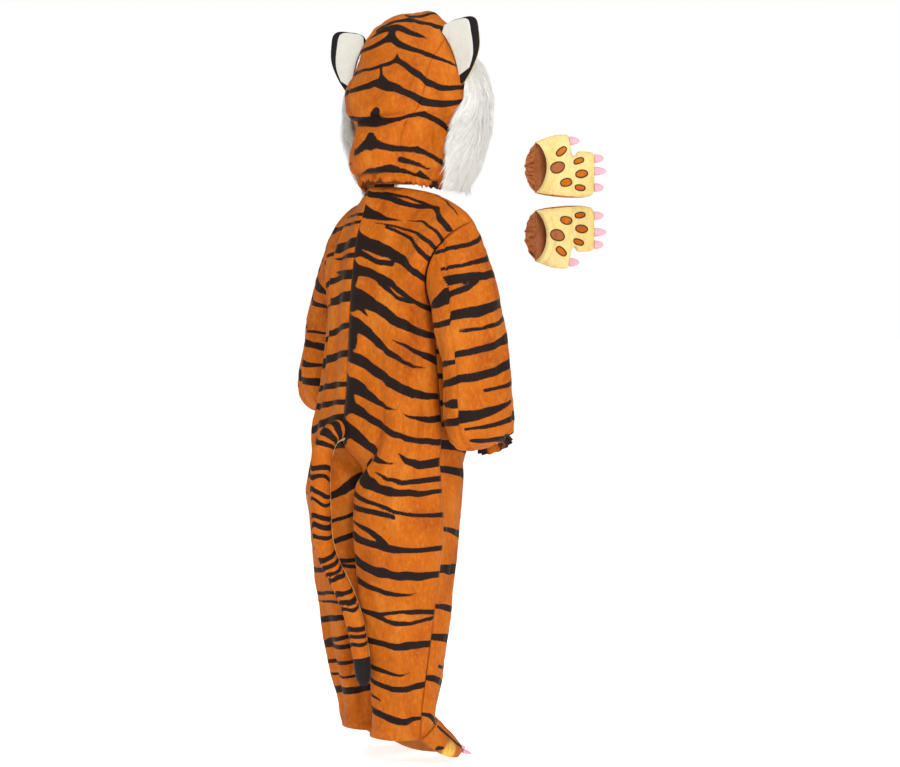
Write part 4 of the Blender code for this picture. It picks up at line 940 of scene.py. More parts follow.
def armhole_point(side, round_share):
    """A point of the armhole, from the shoulder over the back, the underarm and the front."""
    if round_share <= 0.5:
        point = Vector(follow(ARMHOLE_BACK, 2 * round_share))
    else:
        point = Vector(follow(ARMHOLE_FRONT, 2 * (1 - round_share)))
    point.x *= side
    return point


def sleeve_ring_point(side, row, round_share, waves):
    """A point of a tilted ring with waves round it, counted from its outermost line over the back."""
    x, y, z, half_width, half_depth, tilt, wave = row
    angle = 2 * math.pi * round_share
    swell = wave * math.cos(waves * angle)
    out = (half_width + swell) * math.cos(angle)
    back = (half_depth + swell) * math.sin(angle)
    lift = math.radians(tilt)
    return Vector((side * (x + out), y + back * math.cos(lift), z - back * math.sin(lift)))


def sleeve_point(side, round_share, down):
    """A point of a sleeve. Down is 0 at the armhole, 1 at the first full ring, then one more a ring."""
    rows = SLEEVE_ROWS[side]
    if down >= 1:
        row = follow([(index, *values) for index, values in enumerate(rows)], down - 1)
        return sleeve_ring_point(side, row, round_share, SLEEVE_WAVES)
    start = armhole_point(side, round_share)
    start += Vector((side, 0, -0.35)).normalized() * ARMHOLE_STEP
    end = sleeve_ring_point(side, rows[0], round_share, SLEEVE_WAVES)
    crown = 0.5 + 0.5 * math.cos(2 * math.pi * round_share)
    swell = Vector((side * CAP_SWELL, 0, CAP_SWELL)) * crown * 4 * down * (1 - down)
    return start.lerp(end, down) + swell


# Strokes of a sleeve: sixteenths of the way round from the outermost line towards the back, and the height
SLEEVE_SEAM = 3.2
SLEEVE_STROKES = (
    (5.4, -98, -2.8, -63, 0, 5, 6, 7), (3.6, -116, -2.8, -92, 0, 5, 7, 9),
    (3.3, -131, -2.8, -120, -2, 12, 11, 11), (3.8, -154, 0.8, -132, 1, 10, 9, 6),
    (3.8, -182, -2.8, -154, 2, 11, 15, 10), (2.4, -199, -2.8, -179, 2, 4, 6, 9),
    (3.8, -234, -2.8, -205, 2, 7, 10, 13), (3.8, -267, -2.8, -237, 4, 11, 12, 11),
    (1.1, -280, -2.8, -265, 1, 4, 6, 9), (3.8, -316, -1.3, -296, 5, 20, 13, 5),
    (-1.6, -314, -3.6, -315, 0, 9, 10, 10), (2.6, -332, -2.8, -312, 3, 4, 7, 11),
    (2.4, -349, -3.6, -345, 0, 5, 9, 12), (-2.6, -64, -6.5, -84, 4, 6, 9, 4),
    (-2.6, -92, -7.2, -112, 4, 9, 8, 2), (-2.6, -120, -8.2, -138, 4, 11, 9, 6),
    (-2.6, -154, -7.0, -168, 5, 10, 10, 3), (-2.6, -179, -8.2, -192, 5, 9, 9, 6),
    (-2.6, -205, -7.4, -218, 4, 13, 9, 3), (-2.6, -246, -8.2, -256, 4, 12, 10, 7),
    (-2.6, -269, -6.8, -284, 4, 9, 8, 2), (-2.6, -316, -8.2, -318, 5, 11, 10, 8),
)
# Strokes of the strip under the arm, which has its own cut
UNDER_STROKES = (
    (3.0, -150, 5.8, -168, 0, 24, 16, 5), (3.0, -186, 6.6, -196, 0, 9, 8, 3),
    (3.0, -240, 7.0, -248, 2, 6, 7, 3), (3.0, -265, 8.4, -278, 3, 10, 9, 8),
    (3.0, -297, 6.2, -300, 1, 12, 8, 3), (3.0, -321, 8.4, -326, 2, 12, 9, 8),
    (8.4, -204, 5.6, -212, 2, 9, 8, 2), (8.4, -232, 6.4, -236, 1, 7, 6, 2),
    (8.4, -172, 6.2, -176, 1, 8, 6, 2),
)

print("strokes on a sleeve:", len(SLEEVE_STROKES) + len(UNDER_STROKES))

# %% Making a sleeve
# Columns round a sleeve, its length round, coarse rows in its cap and from one ring to the next
SLEEVE_COLUMNS = 48
SLEEVE_ROUND = 0.3
CAP_ROWS = 6
RING_ROWS = 3
# Depths of the gathers over the elastic, of the long folds and of the ripples, and where the gathers grow
GATHERS = 0.0085
SLEEVE_FOLDS = 0.008
SLEEVE_RIPPLES = 0.0012
GATHERS_GROW = (2.2, 5.6)
# The left sleeve's strokes are the right one's, moved up with its hem
LEFT_STROKES_UP = 9
LEFT_HEM_UP = 0.04
# Heights over which the strip under the arm narrows to a point at the armhole, and how far its seam moves
POINT_HEIGHTS = (-0.135, -0.1)
POINT_SIXTEENTHS = 3.0


def sleeve(side):
    """A sleeve from the armhole to the elastic, with its folds, gathers and the seam of its under strip."""
    rings = RING_ROWS * (len(SLEEVE_ROWS[side]) - 1) + 1
    rows = [index / CAP_ROWS for index in range(CAP_ROWS)] + [1 + index / RING_ROWS for index in range(rings)]
    coarse = []
    for down in rows:
        turns = [column / SLEEVE_COLUMNS for column in range(SLEEVE_COLUMNS)]
        coarse.append([(*sleeve_point(side, turn, down), down) for turn in turns])
    fine = refine(coarse, 6, 3, closed=True)
    points = fine[..., :3]
    down = fine[..., 3]
    turn = np.broadcast_to(np.arange(points.shape[1]) / points.shape[1], down.shape)
    around = turn * SLEEVE_ROUND
    height = points[..., 2].copy()
    slack = ramp(down, 0.0, 1.5)
    gather = ramp(down, *GATHERS_GROW) ** 1.3
    pleat = 0.6 * hills(around, down * 0.003, 0.012, 41 + side)
    pleat += 0.4 * hills(around, down * 0.004, 0.0055, 43 + side)
    depth = GATHERS * gather * (pleat - 0.1)
    depth += SLEEVE_FOLDS * slack * hills(around + 0.315 * height, 0.36 * height, 0.024, 50 + side)
    depth += SLEEVE_RIPPLES * hills(around, height, 0.008, 53 + side)
    near = edge_distance(points, closed=True)
    depth = depth * np.clip(near / 0.01, 0.1, 1.0)
    depth -= seam_dip(near, 0.001, 0.003)
    depth -= seam_dip(np.abs(around - SLEEVE_SEAM / 16 * SLEEVE_ROUND), 0.0022, 0.003)
    inside = (side * 0.16, 0.005, -0.25)
    points = push_out(points, inside, depth, True)
    sixteenth = np.where(turn > 0.5, turn - 1.0, turn) * 16
    level = height - (LEFT_HEM_UP if side == LEFT else 0.0) * slack
    coords = np.stack([sixteenth / 16 * SLEEVE_ROUND, level], axis=2)
    place = flat_place(SLEEVE_ROUND / 16, LEFT_STROKES_UP if side == LEFT else 0)
    seam = SLEEVE_SEAM + POINT_SIXTEENTHS * ramp(level, *POINT_HEIGHTS)
    stripe = np.where(sixteenth > seam, stripe_depth(coords, UNDER_STROKES, place),
                      stripe_depth(coords, SLEEVE_STROKES, place))
    name = SIDE_NAMES[side]
    striped_cloth("sleeve_" + name, points, inside, {"stripe": stripe}, closed=True,
                  rests_on=["plush_back_" + name, "plush_front_" + name])


# %% Making a cuff
CUFF_COLUMNS = 192
CUFF_ROWS = 9
# How much of the ruffle's length lies above the elastic, inside the sleeve
CUFF_ABOVE = 0.15
CUFF_ROUND = 0.14
# Height of the waves at the elastic, and what the waves gain down to the edge
CUFF_WAVE = 0.0006
CUFF_WAVE_GROWS = 0.0012


def cuff(side):
    """The short ruffle under a sleeve's elastic."""
    x, y, z, half_width, half_depth, tilt = SLEEVE_ROWS[side][-1][:6]
    lift = math.radians(tilt)
    axis = Vector((0, -math.sin(lift), -math.cos(lift)))
    turn = np.arange(CUFF_COLUMNS) / CUFF_COLUMNS
    points = []
    for down in [(1 + CUFF_ABOVE) * share - CUFF_ABOVE for share in shares(CUFF_ROWS)]:
        middle = Vector((x, y, z)) + axis * (SEAM_GAP + CUFF_LENGTH * down)
        below = max(down, 0.0)
        flare = 0.7 * CUFF_FLARE * below ** 1.4 - CUFF_INSET
        row = (*middle, half_width + flare, half_depth + flare, tilt, CUFF_WAVE + CUFF_WAVE_GROWS * below)
        points.append([sleeve_ring_point(side, row, share, CUFF_WAVES) for share in turn])
    inside = Vector((side * x, y, z)) + axis * CUFF_LENGTH / 2
    wave = 0.0007 * hills(turn * CUFF_ROUND, turn * 0, 0.004, 61 + side)
    points = push_out(np.array(points), inside, wave * np.array(shares(CUFF_ROWS))[:, None], True)
    stripe = 0.008 * hills(turn * CUFF_ROUND, turn * 0, 0.02, 63) + 0.0022
    name = SIDE_NAMES[side]
    striped_cloth("cuff_" + name, points, inside, {"stripe": np.broadcast_to(stripe, points.shape[:2])},
                  closed=True, held="gathered", rests_on=["plush_sleeve_" + name])


for side in (LEFT, RIGHT):
    sleeve(side)
    cuff(side)

# %% [markdown]
# ## Neck tab
# A flat black tab with the fastening shows behind the neckline, under the edge of the right back.

# %% Neck tab
# Its part of the half neckline, rise over the edge, drop, lean of its foot, distance from the neckline
TAB_START = 0.1
TAB_END = 0.46
TAB_RISE = 0.0035
TAB_DROP = 0.02
TAB_LEAN = 0.0045
TAB_CLEAR = 0.0006
TAB_INWARDS = Vector((0.55, -0.83, 0.0))


def neck_tab():
    """The tab under the edge of the right back."""
    grid = []
    for down in shares(15):
        row = []
        for share in shares(21):
            point = Vector(follow(NECK_BACK, TAB_START + (TAB_END - TAB_START) * share))
            point.x *= RIGHT
            point += TAB_INWARDS * (WALL + LAID_ON_GAP + TAB_CLEAR)
            point.z += TAB_RISE - TAB_DROP * down
            point.y += TAB_LEAN * down
            row.append(point)
        grid.append(row)
    cloth("tab_neck", np.array(grid), (0.0, 0.0, -0.02), black_plush, "black_knit_tab", ["neck_tab"],
          wall=THIN_WALL, rests_on=["plush_back_right"])


neck_tab()

# %% [markdown]
# ## Tail
# The tail is a stuffed tube sewn from a striped upper part and a cream strip underneath, with a black tip.
# Its middle line is a smooth curve, and rings of points are swept along it.

# %% Shape of the tail
# Tail: x, y, z of the middle line and its radius. The black tip starts at a row of its own.
TAIL_ROWS = (
    (0.0, 0.116, -0.339, 0.015), (0.0, 0.1255, -0.3405, 0.015), (0.003, 0.137, -0.35, 0.0148),
    (0.008, 0.143, -0.372, 0.0146), (0.012, 0.144, -0.405, 0.0144), (0.013, 0.142, -0.445, 0.0143),
    (0.011, 0.14, -0.49, 0.014), (0.001, 0.135, -0.525, 0.0136), (-0.021, 0.128, -0.562, 0.0132),
    (-0.036, 0.122, -0.6, 0.0128), (-0.042, 0.1175, -0.635, 0.0124), (-0.044, 0.115, -0.654, 0.012),
    (-0.045, 0.1135, -0.67, 0.0116), (-0.045, 0.1125, -0.684, 0.0098), (-0.044, 0.112, -0.693, 0.0058),
)
TAIL_TIP_ROW = 11
TAIL_UNDER_HALF_ANGLE = 48.0
TAIL_TIP_GAP = 0.03


def sweep(section, first, last, count):
    """Rings along the tail's smooth middle line, with the section's points in each."""
    rows = TAIL_ROWS
    table = [(index, *row) for index, row in enumerate(rows)]
    step = 0.05
    rings = []
    for share in shares(count):
        at = first + (last - first) * share
        x, y, z, radius = follow(table, at)
        before = follow(table, max(at - step, 0.0))[:3]
        after = follow(table, min(at + step, len(rows) - 1))[:3]
        along = Vector(after - before).normalized()
        under = along.cross(Vector((1, 0, 0))).normalized()
        across = under.cross(along).normalized()
        middle = Vector((x, y, z))
        rings.append([middle + under * a + across * b for a, b in section(radius)])
    return rings


def arc(radius, start, end, count, shift=0.0, flat=1.0):
    """Points round part of a circle, moved along its first axis."""
    points = []
    for share in shares(count):
        angle = start + (end - start) * share
        points.append((radius * math.cos(angle) + shift, radius * math.sin(angle) * flat))
    return points


def closed_rings(name, rings, finish, nodes, values=None):
    """A stuffed piece through rings of points, closed by a fan at each end."""
    rows, columns = rings.shape[:2]
    vertices = np.concatenate([rings.reshape(-1, 3), rings[0].mean(0)[None], rings[-1].mean(0)[None]])
    faces = grid_faces(rows, columns, True)
    first = rows * columns
    last = (rows - 1) * columns
    for column in range(columns):
        after = (column + 1) % columns
        faces.append((first, after, column))
        faces.append((first + 1, last + column, last + after))
    padded = {}
    for label, numbers in (values or {}).items():
        numbers = np.asarray(numbers, dtype=float)
        padded[label] = np.concatenate([numbers.ravel(), [numbers[0].mean()], [numbers[-1].mean()]])
    piece = add_piece(name, vertices, faces, [finish], nodes, padded)
    face_outwards(piece, Vector(vertices.mean(0)))
    print(f"{name}: {len(vertices)} points")


print("rows of the tail:", len(TAIL_ROWS))

# %% Making the tail
# Rings round the tail, in groups: place along it, width, dip on the outside, slant, all in millimetres
TAIL_RINGS = (
    (4, 8, -3, 3), (17, 8, -4, 4), (30, 9, -5, 4), (43, 7, -6, 3), (80, 8, -9, 5), (93, 7, -7, 5),
    (106, 7, 8, 4), (117, 6, 10, 2), (141, 8, 5, 1), (153, 8, 7, 0), (166, 7, 9, -2), (197, 8, 6, -6),
    (208, 7, 8, -6), (219, 6, 9, -6), (229, 6, 9, -5), (253, 7, 8, -4), (265, 7, 8, -4), (276, 6, 8, -3),
    (307, 7, 5, -1), (318, 6, 4, -1), (329, 6, 5, -2),
)
TAIL_RADIUS = 0.014
TAIL_BUMPS = 0.001
RING_WAVER = 0.004


def tail():
    """The striped upper part, the cream strip under it and the black tip."""
    half = math.radians(TAIL_UNDER_HALF_ANGLE)
    whole = 2 * math.pi
    columns = 40

    def upper(radius):
        return arc(radius, half, whole - half, columns)

    def lower(radius):
        return arc(radius, -half, half, 16, shift=LAID_ON_GAP, flat=0.97)

    def round_section(radius):
        return arc(radius, 0.0, whole, columns + 1)[:-1]

    rings = np.array(sweep(upper, 0, TAIL_TIP_ROW, 130))
    middle = rings.mean(axis=1, keepdims=True)
    along, turn = np.broadcast_arrays(way_down(middle), np.linspace(half, whole - half, columns)[None])
    bumps = TAIL_BUMPS * hills(turn * TAIL_RADIUS, along, 0.01, 71)
    rings = rings + unit(rings - middle) * bumps[..., None]
    waver = RING_WAVER * hills(turn * TAIL_RADIUS, along, 0.012, 72)
    stripe = np.full(along.shape, NO_STRIPE)
    for place, wide, dip, slant in TAIL_RINGS:
        line = MM * (place + dip * np.abs(np.sin(turn)) ** 1.5 + slant * np.cos(turn)) + waver
        stripe = np.maximum(stripe, MM / 2 * wide - np.abs(along - line))
    closed_rings("plush_tail_back", rings, striped_plush, ["tail_back"],
                 {"stripe": stripe})
    rings = np.array(sweep(lower, 0, TAIL_TIP_ROW, 100))
    closed_rings("plush_tail_under", rings, cream_plush, ["tail_under"])
    rings = np.array(sweep(round_section, TAIL_TIP_ROW + TAIL_TIP_GAP, len(TAIL_ROWS) - 1, 30))
    closed_rings("plush_tail_tip", rings, black_plush, ["tail_tip"])


tail()

# %% [markdown]
# ## Claws
# The claws are small stuffed felt tongues, flat at the root and round at the tip. One is shaped from a ball
# in edit mode, and every other claw is a copy of it with its own mesh, turned and set in its place.

# %% One claw
CLAW_LENGTH = 0.014
CLAW_RADIUS = 0.0045
bpy.ops.object.select_all(action="DESELECT")
bpy.ops.mesh.primitive_uv_sphere_add(segments=20, ring_count=14, radius=1.0, location=(0.0, 0.0, 0.0))
claw_pattern = bpy.context.object
claw_pattern.name = "claw_pattern"
bpy.ops.object.mode_set(mode="EDIT")
bpy.ops.mesh.select_all(action="DESELECT")
bpy.ops.object.mode_set(mode="OBJECT")
# The half under the root is pressed flat, and the half over it is the claw
for vertex in claw_pattern.data.vertices:
    vertex.select = vertex.co.z < -0.01
for edge in claw_pattern.data.edges:
    edge.select = all(claw_pattern.data.vertices[index].select for index in edge.vertices)
for face in claw_pattern.data.polygons:
    face.select = all(claw_pattern.data.vertices[index].select for index in face.vertices)
bpy.ops.object.mode_set(mode="EDIT")
bpy.ops.transform.resize(value=(1.0, 1.0, 0.03), center_override=(0.0, 0.0, 0.0))
bpy.ops.object.mode_set(mode="OBJECT")
claw_pattern.data.shade_smooth()
claw_pattern.data.materials.append(pink_felt)
claw_mesh = claw_pattern.data.copy()
bpy.data.objects.remove(claw_pattern, do_unlink=True)
print("claw:", len(claw_mesh.vertices), "points")


def claw(node, root, direction, length, radius, wide=1.0, high=0.72):
    """A copy of the pattern, set on a root and turned along a direction. It has its own length and radius."""
    along = Vector(direction).normalized()
    side = along.cross(Vector((0, 0, 1))).normalized()
    up = side.cross(along)
    turn = Matrix((side * radius * wide, up * radius * high, along * length)).transposed().to_4x4()
    turn.translation = Vector(root)
    mesh = claw_mesh.copy()
    mesh.name = "felt_" + node
    mesh.transform(turn)
    if turn.determinant() < 0:
        mesh.flip_normals()
    piece = bpy.data.objects.new("felt_" + node, mesh)
    bpy.context.scene.collection.objects.link(piece)
    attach(piece, "root")
    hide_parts(node)


# %% [markdown]
# ## Foot covers
# From the front of each hem a cloth upper falls over the shoe. A dark line runs along its crown to the toe,
# low at its side the colour turns a deep yellow, partly yellow cloth and partly painted sheen, and three felt
# claws end it.

# %% Foot covers
# Foot cover, from the hem's front: share, half width, y and z of the side edge, y and z of the crown
FOOT_ROWS = (
    (0.0, 0.0455, 0.045, 0.0, -0.0023, 0.026), (0.25, 0.0445, 0.025, -0.015, -0.014, 0.0165),
    (0.5, 0.0405, 0.002, -0.027, -0.029, 0.004), (0.75, 0.033, -0.021, -0.034, -0.045, -0.0115),
    (0.92, 0.024, -0.039, -0.0365, -0.055, -0.0215), (1.0, 0.017, -0.047, -0.037, -0.059, -0.026),
)
FOOT_CLAW_PLACES = (30.0, 90.0, 150.0)
FOOT_CLAW_SEAT = 0.0006


def foot_point(side, share, turn):
    """A point of a foot cover. The turn goes over it in degrees, from the outer edge to the inner one."""
    hem = HEM_Z[side]
    square = follow(LEG_ROWS, hem)[3]
    half, edge_y, edge_z, crown_y, crown_z = follow(FOOT_ROWS, share)
    angle = math.radians(turn)
    rise = power(math.sin(angle), 2 / square)
    z = hem - SEAM_GAP + edge_z + (crown_z - edge_z) * rise
    # Over the hem the cover lies on the outside of the leg
    level = max(z, hem)
    half_width, half_depth, inner = follow(LEG_ROWS, level)[:3]
    middle_y = follow(LEG_MIDDLES, level)[0 if side == LEFT else 1]
    x = inner + half_width + half * power(math.cos(angle), 2 / square)
    y = middle_y - half_depth + edge_y + (crown_y - edge_y) * rise
    return Vector((side * x, y, z))


print("toe of the left foot cover:", [round(part, 3) for part in foot_point(LEFT, 1.0, 90.0)])

# %% Fabric of the foot covers
# Strokes by the share of the way over the foot, and by millimetres down it
FOOT_STROKES = (
    (0.2, 4, 0.21, 80, 0, 4, 5, 6), (0.8, 4, 0.79, 80, 0, 4, 5, 6), (0.02, 24, 0.05, 34, 0, 4, 4, 2),
    (0.98, 24, 0.95, 34, 0, 4, 4, 2),
)
# Deep yellow patch low on each side of the foot: partly yellow cloth, partly painted sheen
GOLD_SHEEN_STROKES = (
    (0.03, 47, 0.13, 44, 0, 20, 16, 8), (0.97, 47, 0.87, 44, 0, 20, 16, 8),
)
GOLD_SHEEN_CLOTH = (0.8, 0.5, 0.08)
GOLD_SHEEN_LIGHT = (0.9, 0.66, 0.2)
foot_plush = cloth_finish("foot_plush", ORANGES, "stripe")
foot_tree = foot_plush.node_tree
# Inside that patch the cloth and its lighter pile take deep yellow colours, a painted sheen over yellow cloth
gold_sheen_mask = step(foot_tree, painted(foot_tree, "gold_sheen"), -0.006, 0.004)
for label, colour, gold_sheen_colour in (("Cloth", ORANGES[0], GOLD_SHEEN_CLOTH), ("Light", ORANGES[1], GOLD_SHEEN_LIGHT)):
    colour = blend(foot_tree, gold_sheen_mask, (*colour, 1.0), (*gold_sheen_colour, 1.0))
    foot_tree.links.new(colour, nap_of(foot_plush).inputs[label])

print("strokes on a foot cover:", len(FOOT_STROKES), "dark,", len(GOLD_SHEEN_STROKES), "gold_sheen")

# %% Making a foot cover
FOOT_ACROSS = 0.11
FOOT_LENGTH = 0.08
FOOT_BUMPS = 0.0016
FOOT_WAVER = 0.0006


def foot_cover(side):
    """The cloth upper over a shoe, and its three claws."""
    name = SIDE_NAMES[side]
    coarse = [[foot_point(side, share, 180 * across) for across in shares(17)] for share in shares(13)]
    points = refine(coarse, 4, 4)
    rows, columns = points.shape[:2]
    share, across = np.meshgrid(shares(rows), shares(columns), indexing="ij")
    inside = foot_point(side, 0.5, 90.0) + Vector((0, 0.02, -0.06))
    depth = FOOT_BUMPS * hills(across * FOOT_ACROSS, share * 0.07, 0.014, 81 + side)
    points = push_out(points, inside, depth * ramp(edge_distance(points), 0.0, 0.008))
    coords = np.stack([across * FOOT_ACROSS, share * FOOT_LENGTH], axis=2)
    # The stripes, and the deep yellow patch that is partly painted sheen
    values = {"stripe": stripe_depth(coords, FOOT_STROKES, flat_place(FOOT_ACROSS), FOOT_WAVER),
              "gold_sheen": stripe_depth(coords, GOLD_SHEEN_STROKES, flat_place(FOOT_ACROSS), FOOT_WAVER)}
    cloth("plush_foot_" + name, points, inside, foot_plush, "striped_orange_plush", ["foot_" + name], values,
          held="draped", rests_on=["plush_front_" + name])
    for number, turn in enumerate(FOOT_CLAW_PLACES, start=1):
        toe = foot_point(side, 1.0, turn)
        ahead = Vector((side * math.cos(math.radians(turn)) * 0.35, -0.92, -0.36)).normalized()
        claw(f"foot_claw_{name}_{number}", toe + ahead * FOOT_CLAW_SEAT, ahead, CLAW_LENGTH, CLAW_RADIUS)


for side in (LEFT, RIGHT):
    foot_cover(side)

# %% [markdown]
# ## Hood
# A strip runs over the middle of the head from the brow to the nape, and a shaped side is sewn to each of its
# edges. An elastic casing gathers the nape. The hood is shaped facing forwards, then turned to the left as in
# the picture.

# %% Shape of the hood
# Hood, in its own frame before it is turned
HOOD_TURN = 20.0
HEAD_MIDDLE_Y = -0.018
HEAD_MIDDLE_Z = 0.125
HEAD_HALF_WIDTH = 0.093
HEAD_ROUNDNESS = 2.1
HOOD_INSIDE = (0.0, -0.018, 0.095)
FACE_TAPER = 0.01
# Outline of the hood above its middle, seen from the side: turn from straight up towards the back, radius
HOOD_OUTLINE = (
    (-75.0, 0.098), (-52.0, 0.101), (-32.0, 0.113), (-7.0, 0.133), (10.0, 0.123), (27.0, 0.1055),
    (42.0, 0.0905), (64.0, 0.089), (80.0, 0.095), (90.0, 0.0985),
)
# Lower back of the hood: z, half width, y of the back
HOOD_LOWER = (
    (-0.01, 0.056, 0.068), (0.01, 0.064, 0.0745), (0.034, 0.075, 0.09), (0.052, 0.072, 0.0925),
    (0.075, 0.07, 0.0885), (0.094, 0.077, 0.078), (0.108, 0.0895, 0.0795), (0.125, 0.093, 0.0805),
)
# Half width of the hood below its middle, beside the face: z, half width
HOOD_LOWER_FRONT = (
    (-0.01, 0.064), (0.03, 0.072), (0.08, 0.082), (0.125, 0.093),
)
HOOD_PINCH_Y = 0.03
HOOD_PINCH_BLEND = 0.05
# Seam between the middle strip and the side of the hood: share, y, z, from the brow to the nape
HOOD_SEAM = (
    (0.0, -0.086, 0.185), (0.16, -0.062, 0.215), (0.32, -0.027, 0.226), (0.48, 0.01, 0.203),
    (0.62, 0.036, 0.168), (0.74, 0.056, 0.13), (0.84, 0.064, 0.096), (0.92, 0.076, 0.062),
    (1.0, 0.068, 0.0195),
)
HOOD_SEAM_CORNER = 0.55
HOOD_STRIP_ROUND = 0.55
HOOD_FACE_FULLNESS = 0.45
# Front edge of the side of the hood, from the brow down to the chin: share, y, z
HOOD_FACE_EDGE = (
    (0.0, -0.086, 0.185), (0.3, -0.09, 0.14), (0.65, -0.085, 0.07), (1.0, -0.08, 0.012),
)
# Lower edge of the side of the hood, from the nape seam to the chin: share, y, z
HOOD_NECK_EDGE = (
    (0.0, 0.068, 0.0195), (0.4, 0.023, 0.01), (0.7, -0.025, 0.0095), (1.0, -0.08, 0.012),
)
# Casing: waves round it, height, the nape's share of it, reach along the sides, inset, draw, wave, step down
CASING_WAVES = 16
CASING_HEIGHT = 0.0085
CASING_NAPE_SHARE = 0.3
CASING_SIDE_REACH = 0.72
CASING_INSET = 0.0012
CASING_DRAW = 0.003
CASING_WAVE = 0.0013
CASING_STEP = 0.0002
# Chin piece: where it starts down the face's edge, and how far it stands out
CHIN_TOP = 0.88
CHIN_REACH = 0.016
print("rows of the hood's outline and seam:", len(HOOD_OUTLINE), len(HOOD_SEAM))

# %% Points on the hood


def hood_half_width(y, z):
    """Half width of the hood at a place in its middle plane."""
    ahead = y < HEAD_MIDDLE_Y
    dy = y - HEAD_MIDDLE_Y
    dz = max(z - HEAD_MIDDLE_Z, 0.0)
    half_width = HEAD_HALF_WIDTH
    back = follow(HOOD_LOWER, HEAD_MIDDLE_Z)[1]
    if z < HEAD_MIDDLE_Z:
        half_width, back = follow(HOOD_LOWER, z)
        fuller = follow(HOOD_LOWER_FRONT, z)[0] - half_width
        half_width += fuller * ease((HOOD_PINCH_Y - y) / HOOD_PINCH_BLEND)
    if z < HEAD_MIDDLE_Z and not ahead:
        share = dy / (back - HEAD_MIDDLE_Y)
    else:
        radius = follow(HOOD_OUTLINE, math.degrees(math.atan2(dy, dz)))[0]
        share = math.hypot(dy, dz) / radius
        if ahead:
            # In front of the ears the side stays full until the brow
            share = math.hypot(dy * (1 - HOOD_FACE_FULLNESS * (1 - share * share)), dz) / radius
    share = min(share, 1.0)
    width = half_width * (1 - share ** HEAD_ROUNDNESS) ** (1 / HEAD_ROUNDNESS)
    if ahead:
        width -= FACE_TAPER * (dy / 0.072) ** 2
    return max(width, 0.0)


def hood_side_point(side, across, down):
    """A point of the side of the hood, from the back seam to the face and from the top to the neck."""
    y, z = between_edges(
        lambda at: follow(HOOD_SEAM, HOOD_SEAM_CORNER * (1 - at)),
        lambda at: follow(HOOD_NECK_EDGE, at),
        lambda at: follow(HOOD_SEAM, HOOD_SEAM_CORNER + (1 - HOOD_SEAM_CORNER) * at),
        lambda at: follow(HOOD_FACE_EDGE, at),
        across, down,
    )
    return Vector((side * hood_half_width(y, z), y, z))


def hood_ridge_point(share):
    """The middle line of the hood from the brow to the nape."""
    seam_y, seam_z = follow(HOOD_SEAM, share)
    half = hood_half_width(seam_y, seam_z)
    if seam_z >= HEAD_MIDDLE_Z:
        turn = math.degrees(math.atan2(seam_y - HEAD_MIDDLE_Y, seam_z - HEAD_MIDDLE_Z))
        radius = follow(HOOD_OUTLINE, turn)[0]
        ridge_y = HEAD_MIDDLE_Y + radius * math.sin(math.radians(turn))
        ridge_z = HEAD_MIDDLE_Z + radius * math.cos(math.radians(turn))
        return ridge_y, ridge_z, half
    return follow(HOOD_LOWER, seam_z)[1], seam_z, half


def hood_middle_point(share, across):
    """A point of the middle strip. Across goes from -1 at the right seam to 1 at the left seam."""
    ridge_y, ridge_z, half = hood_ridge_point(share)
    seam_y, seam_z = follow(HOOD_SEAM, share)
    full_drop = 1 - (1 - HOOD_STRIP_ROUND) ** (1 / HEAD_ROUNDNESS)
    drop = (1 - (1 - abs(across) ** HEAD_ROUNDNESS * HOOD_STRIP_ROUND) ** (1 / HEAD_ROUNDNESS)) / full_drop
    return Vector((half * across, ridge_y + (seam_y - ridge_y) * drop, ridge_z + (seam_z - ridge_z) * drop))


hood_turn = np.array(Matrix.Rotation(math.radians(HOOD_TURN), 3, "Z"))


def turned(points):
    """Turn points of the hood to the left, as the picture shows it."""
    return np.asarray(points, dtype=float) @ hood_turn.T


print("half width of the hood:", round(float(hood_half_width(HEAD_MIDDLE_Y, HEAD_MIDDLE_Z)), 4))

# %% Stripes of the hood
STRIPE_BALL = 0.105
# Strokes of the hood: degrees round from the back towards the right ear, and up from the head's middle
HOOD_STROKES = (
    (-45, 63, 68, 63, -15, 4, 8, 7), (-52, 54, 51, 53, -15, 2, 11, 2), (-6, 68, -4, 59, 0, 9, 10, 9),
    (-58, 44, -4, 60, 1, 6, 7, 11), (-4, 60, 78, 29, -1, 11, 8, 4), (-48, 27, 13, 37, 3, 8, 8, 10),
    (14, 38, 46, 13, 0, 10, 12, 12), (46, 13, 88, 12, 3, 12, 9, 5), (14, 38, 13, 45, 0, 8, 5, 2),
    (-3, 31, 4, 14, 0, 5, 6, 10), (-46, 7, 4, 14, 1, 8, 9, 16), (4, 13, 40, -3, -1, 20, 13, 12),
    (40, -3, 84, 0, 3, 12, 10, 4), (-48, -14, 20, -18, 2, 11, 13, 4), (1, -10, -3, -15, 0, 11, 13, 15),
    (20, -18, 41, -14, -1, 4, 6, 9), (41, -14, 78, -31, -1, 9, 9, 5), (-40, -29, -28, -25, 0, 3, 4, 3),
    (-16, -35, -5, -31, 0, 5, 6, 9), (-1, -27, 0, -31, 0, 9, 15, 11), (3, -30, 36, -38, 0, 9, 6, 5),
    (36, -38, 70, -51, 0, 5, 4, 6), (22, -40, 50, -50, 0, 5, 4, 3), (-44, -46, -28, -42, 0, 7, 5, 2),
    (-14, -48, 34, -53, -6, 8, 9, 8), (38, -51, 52, -59, 0, 5, 6, 4), (-60, 54, -100, 40, -6, 4, 8, 5),
    (-58, 40, -112, 22, -5, 6, 9, 4), (-48, 27, -104, 6, -4, 8, 9, 4), (-46, 7, -110, -12, -4, 8, 8, 3),
    (-48, -14, -96, -34, -3, 9, 8, 3), (70, 62, 120, 44, -5, 6, 8, 4), (88, 30, 130, 18, -3, 4, 8, 4),
    (92, 2, 128, -10, -2, 3, 8, 4), (84, -30, 118, -40, -2, 4, 7, 3), (-8, 84, 172, 62, -4, 5, 8, 4),
    (150, 52, 205, 54, -4, 2, 8, 3),
)


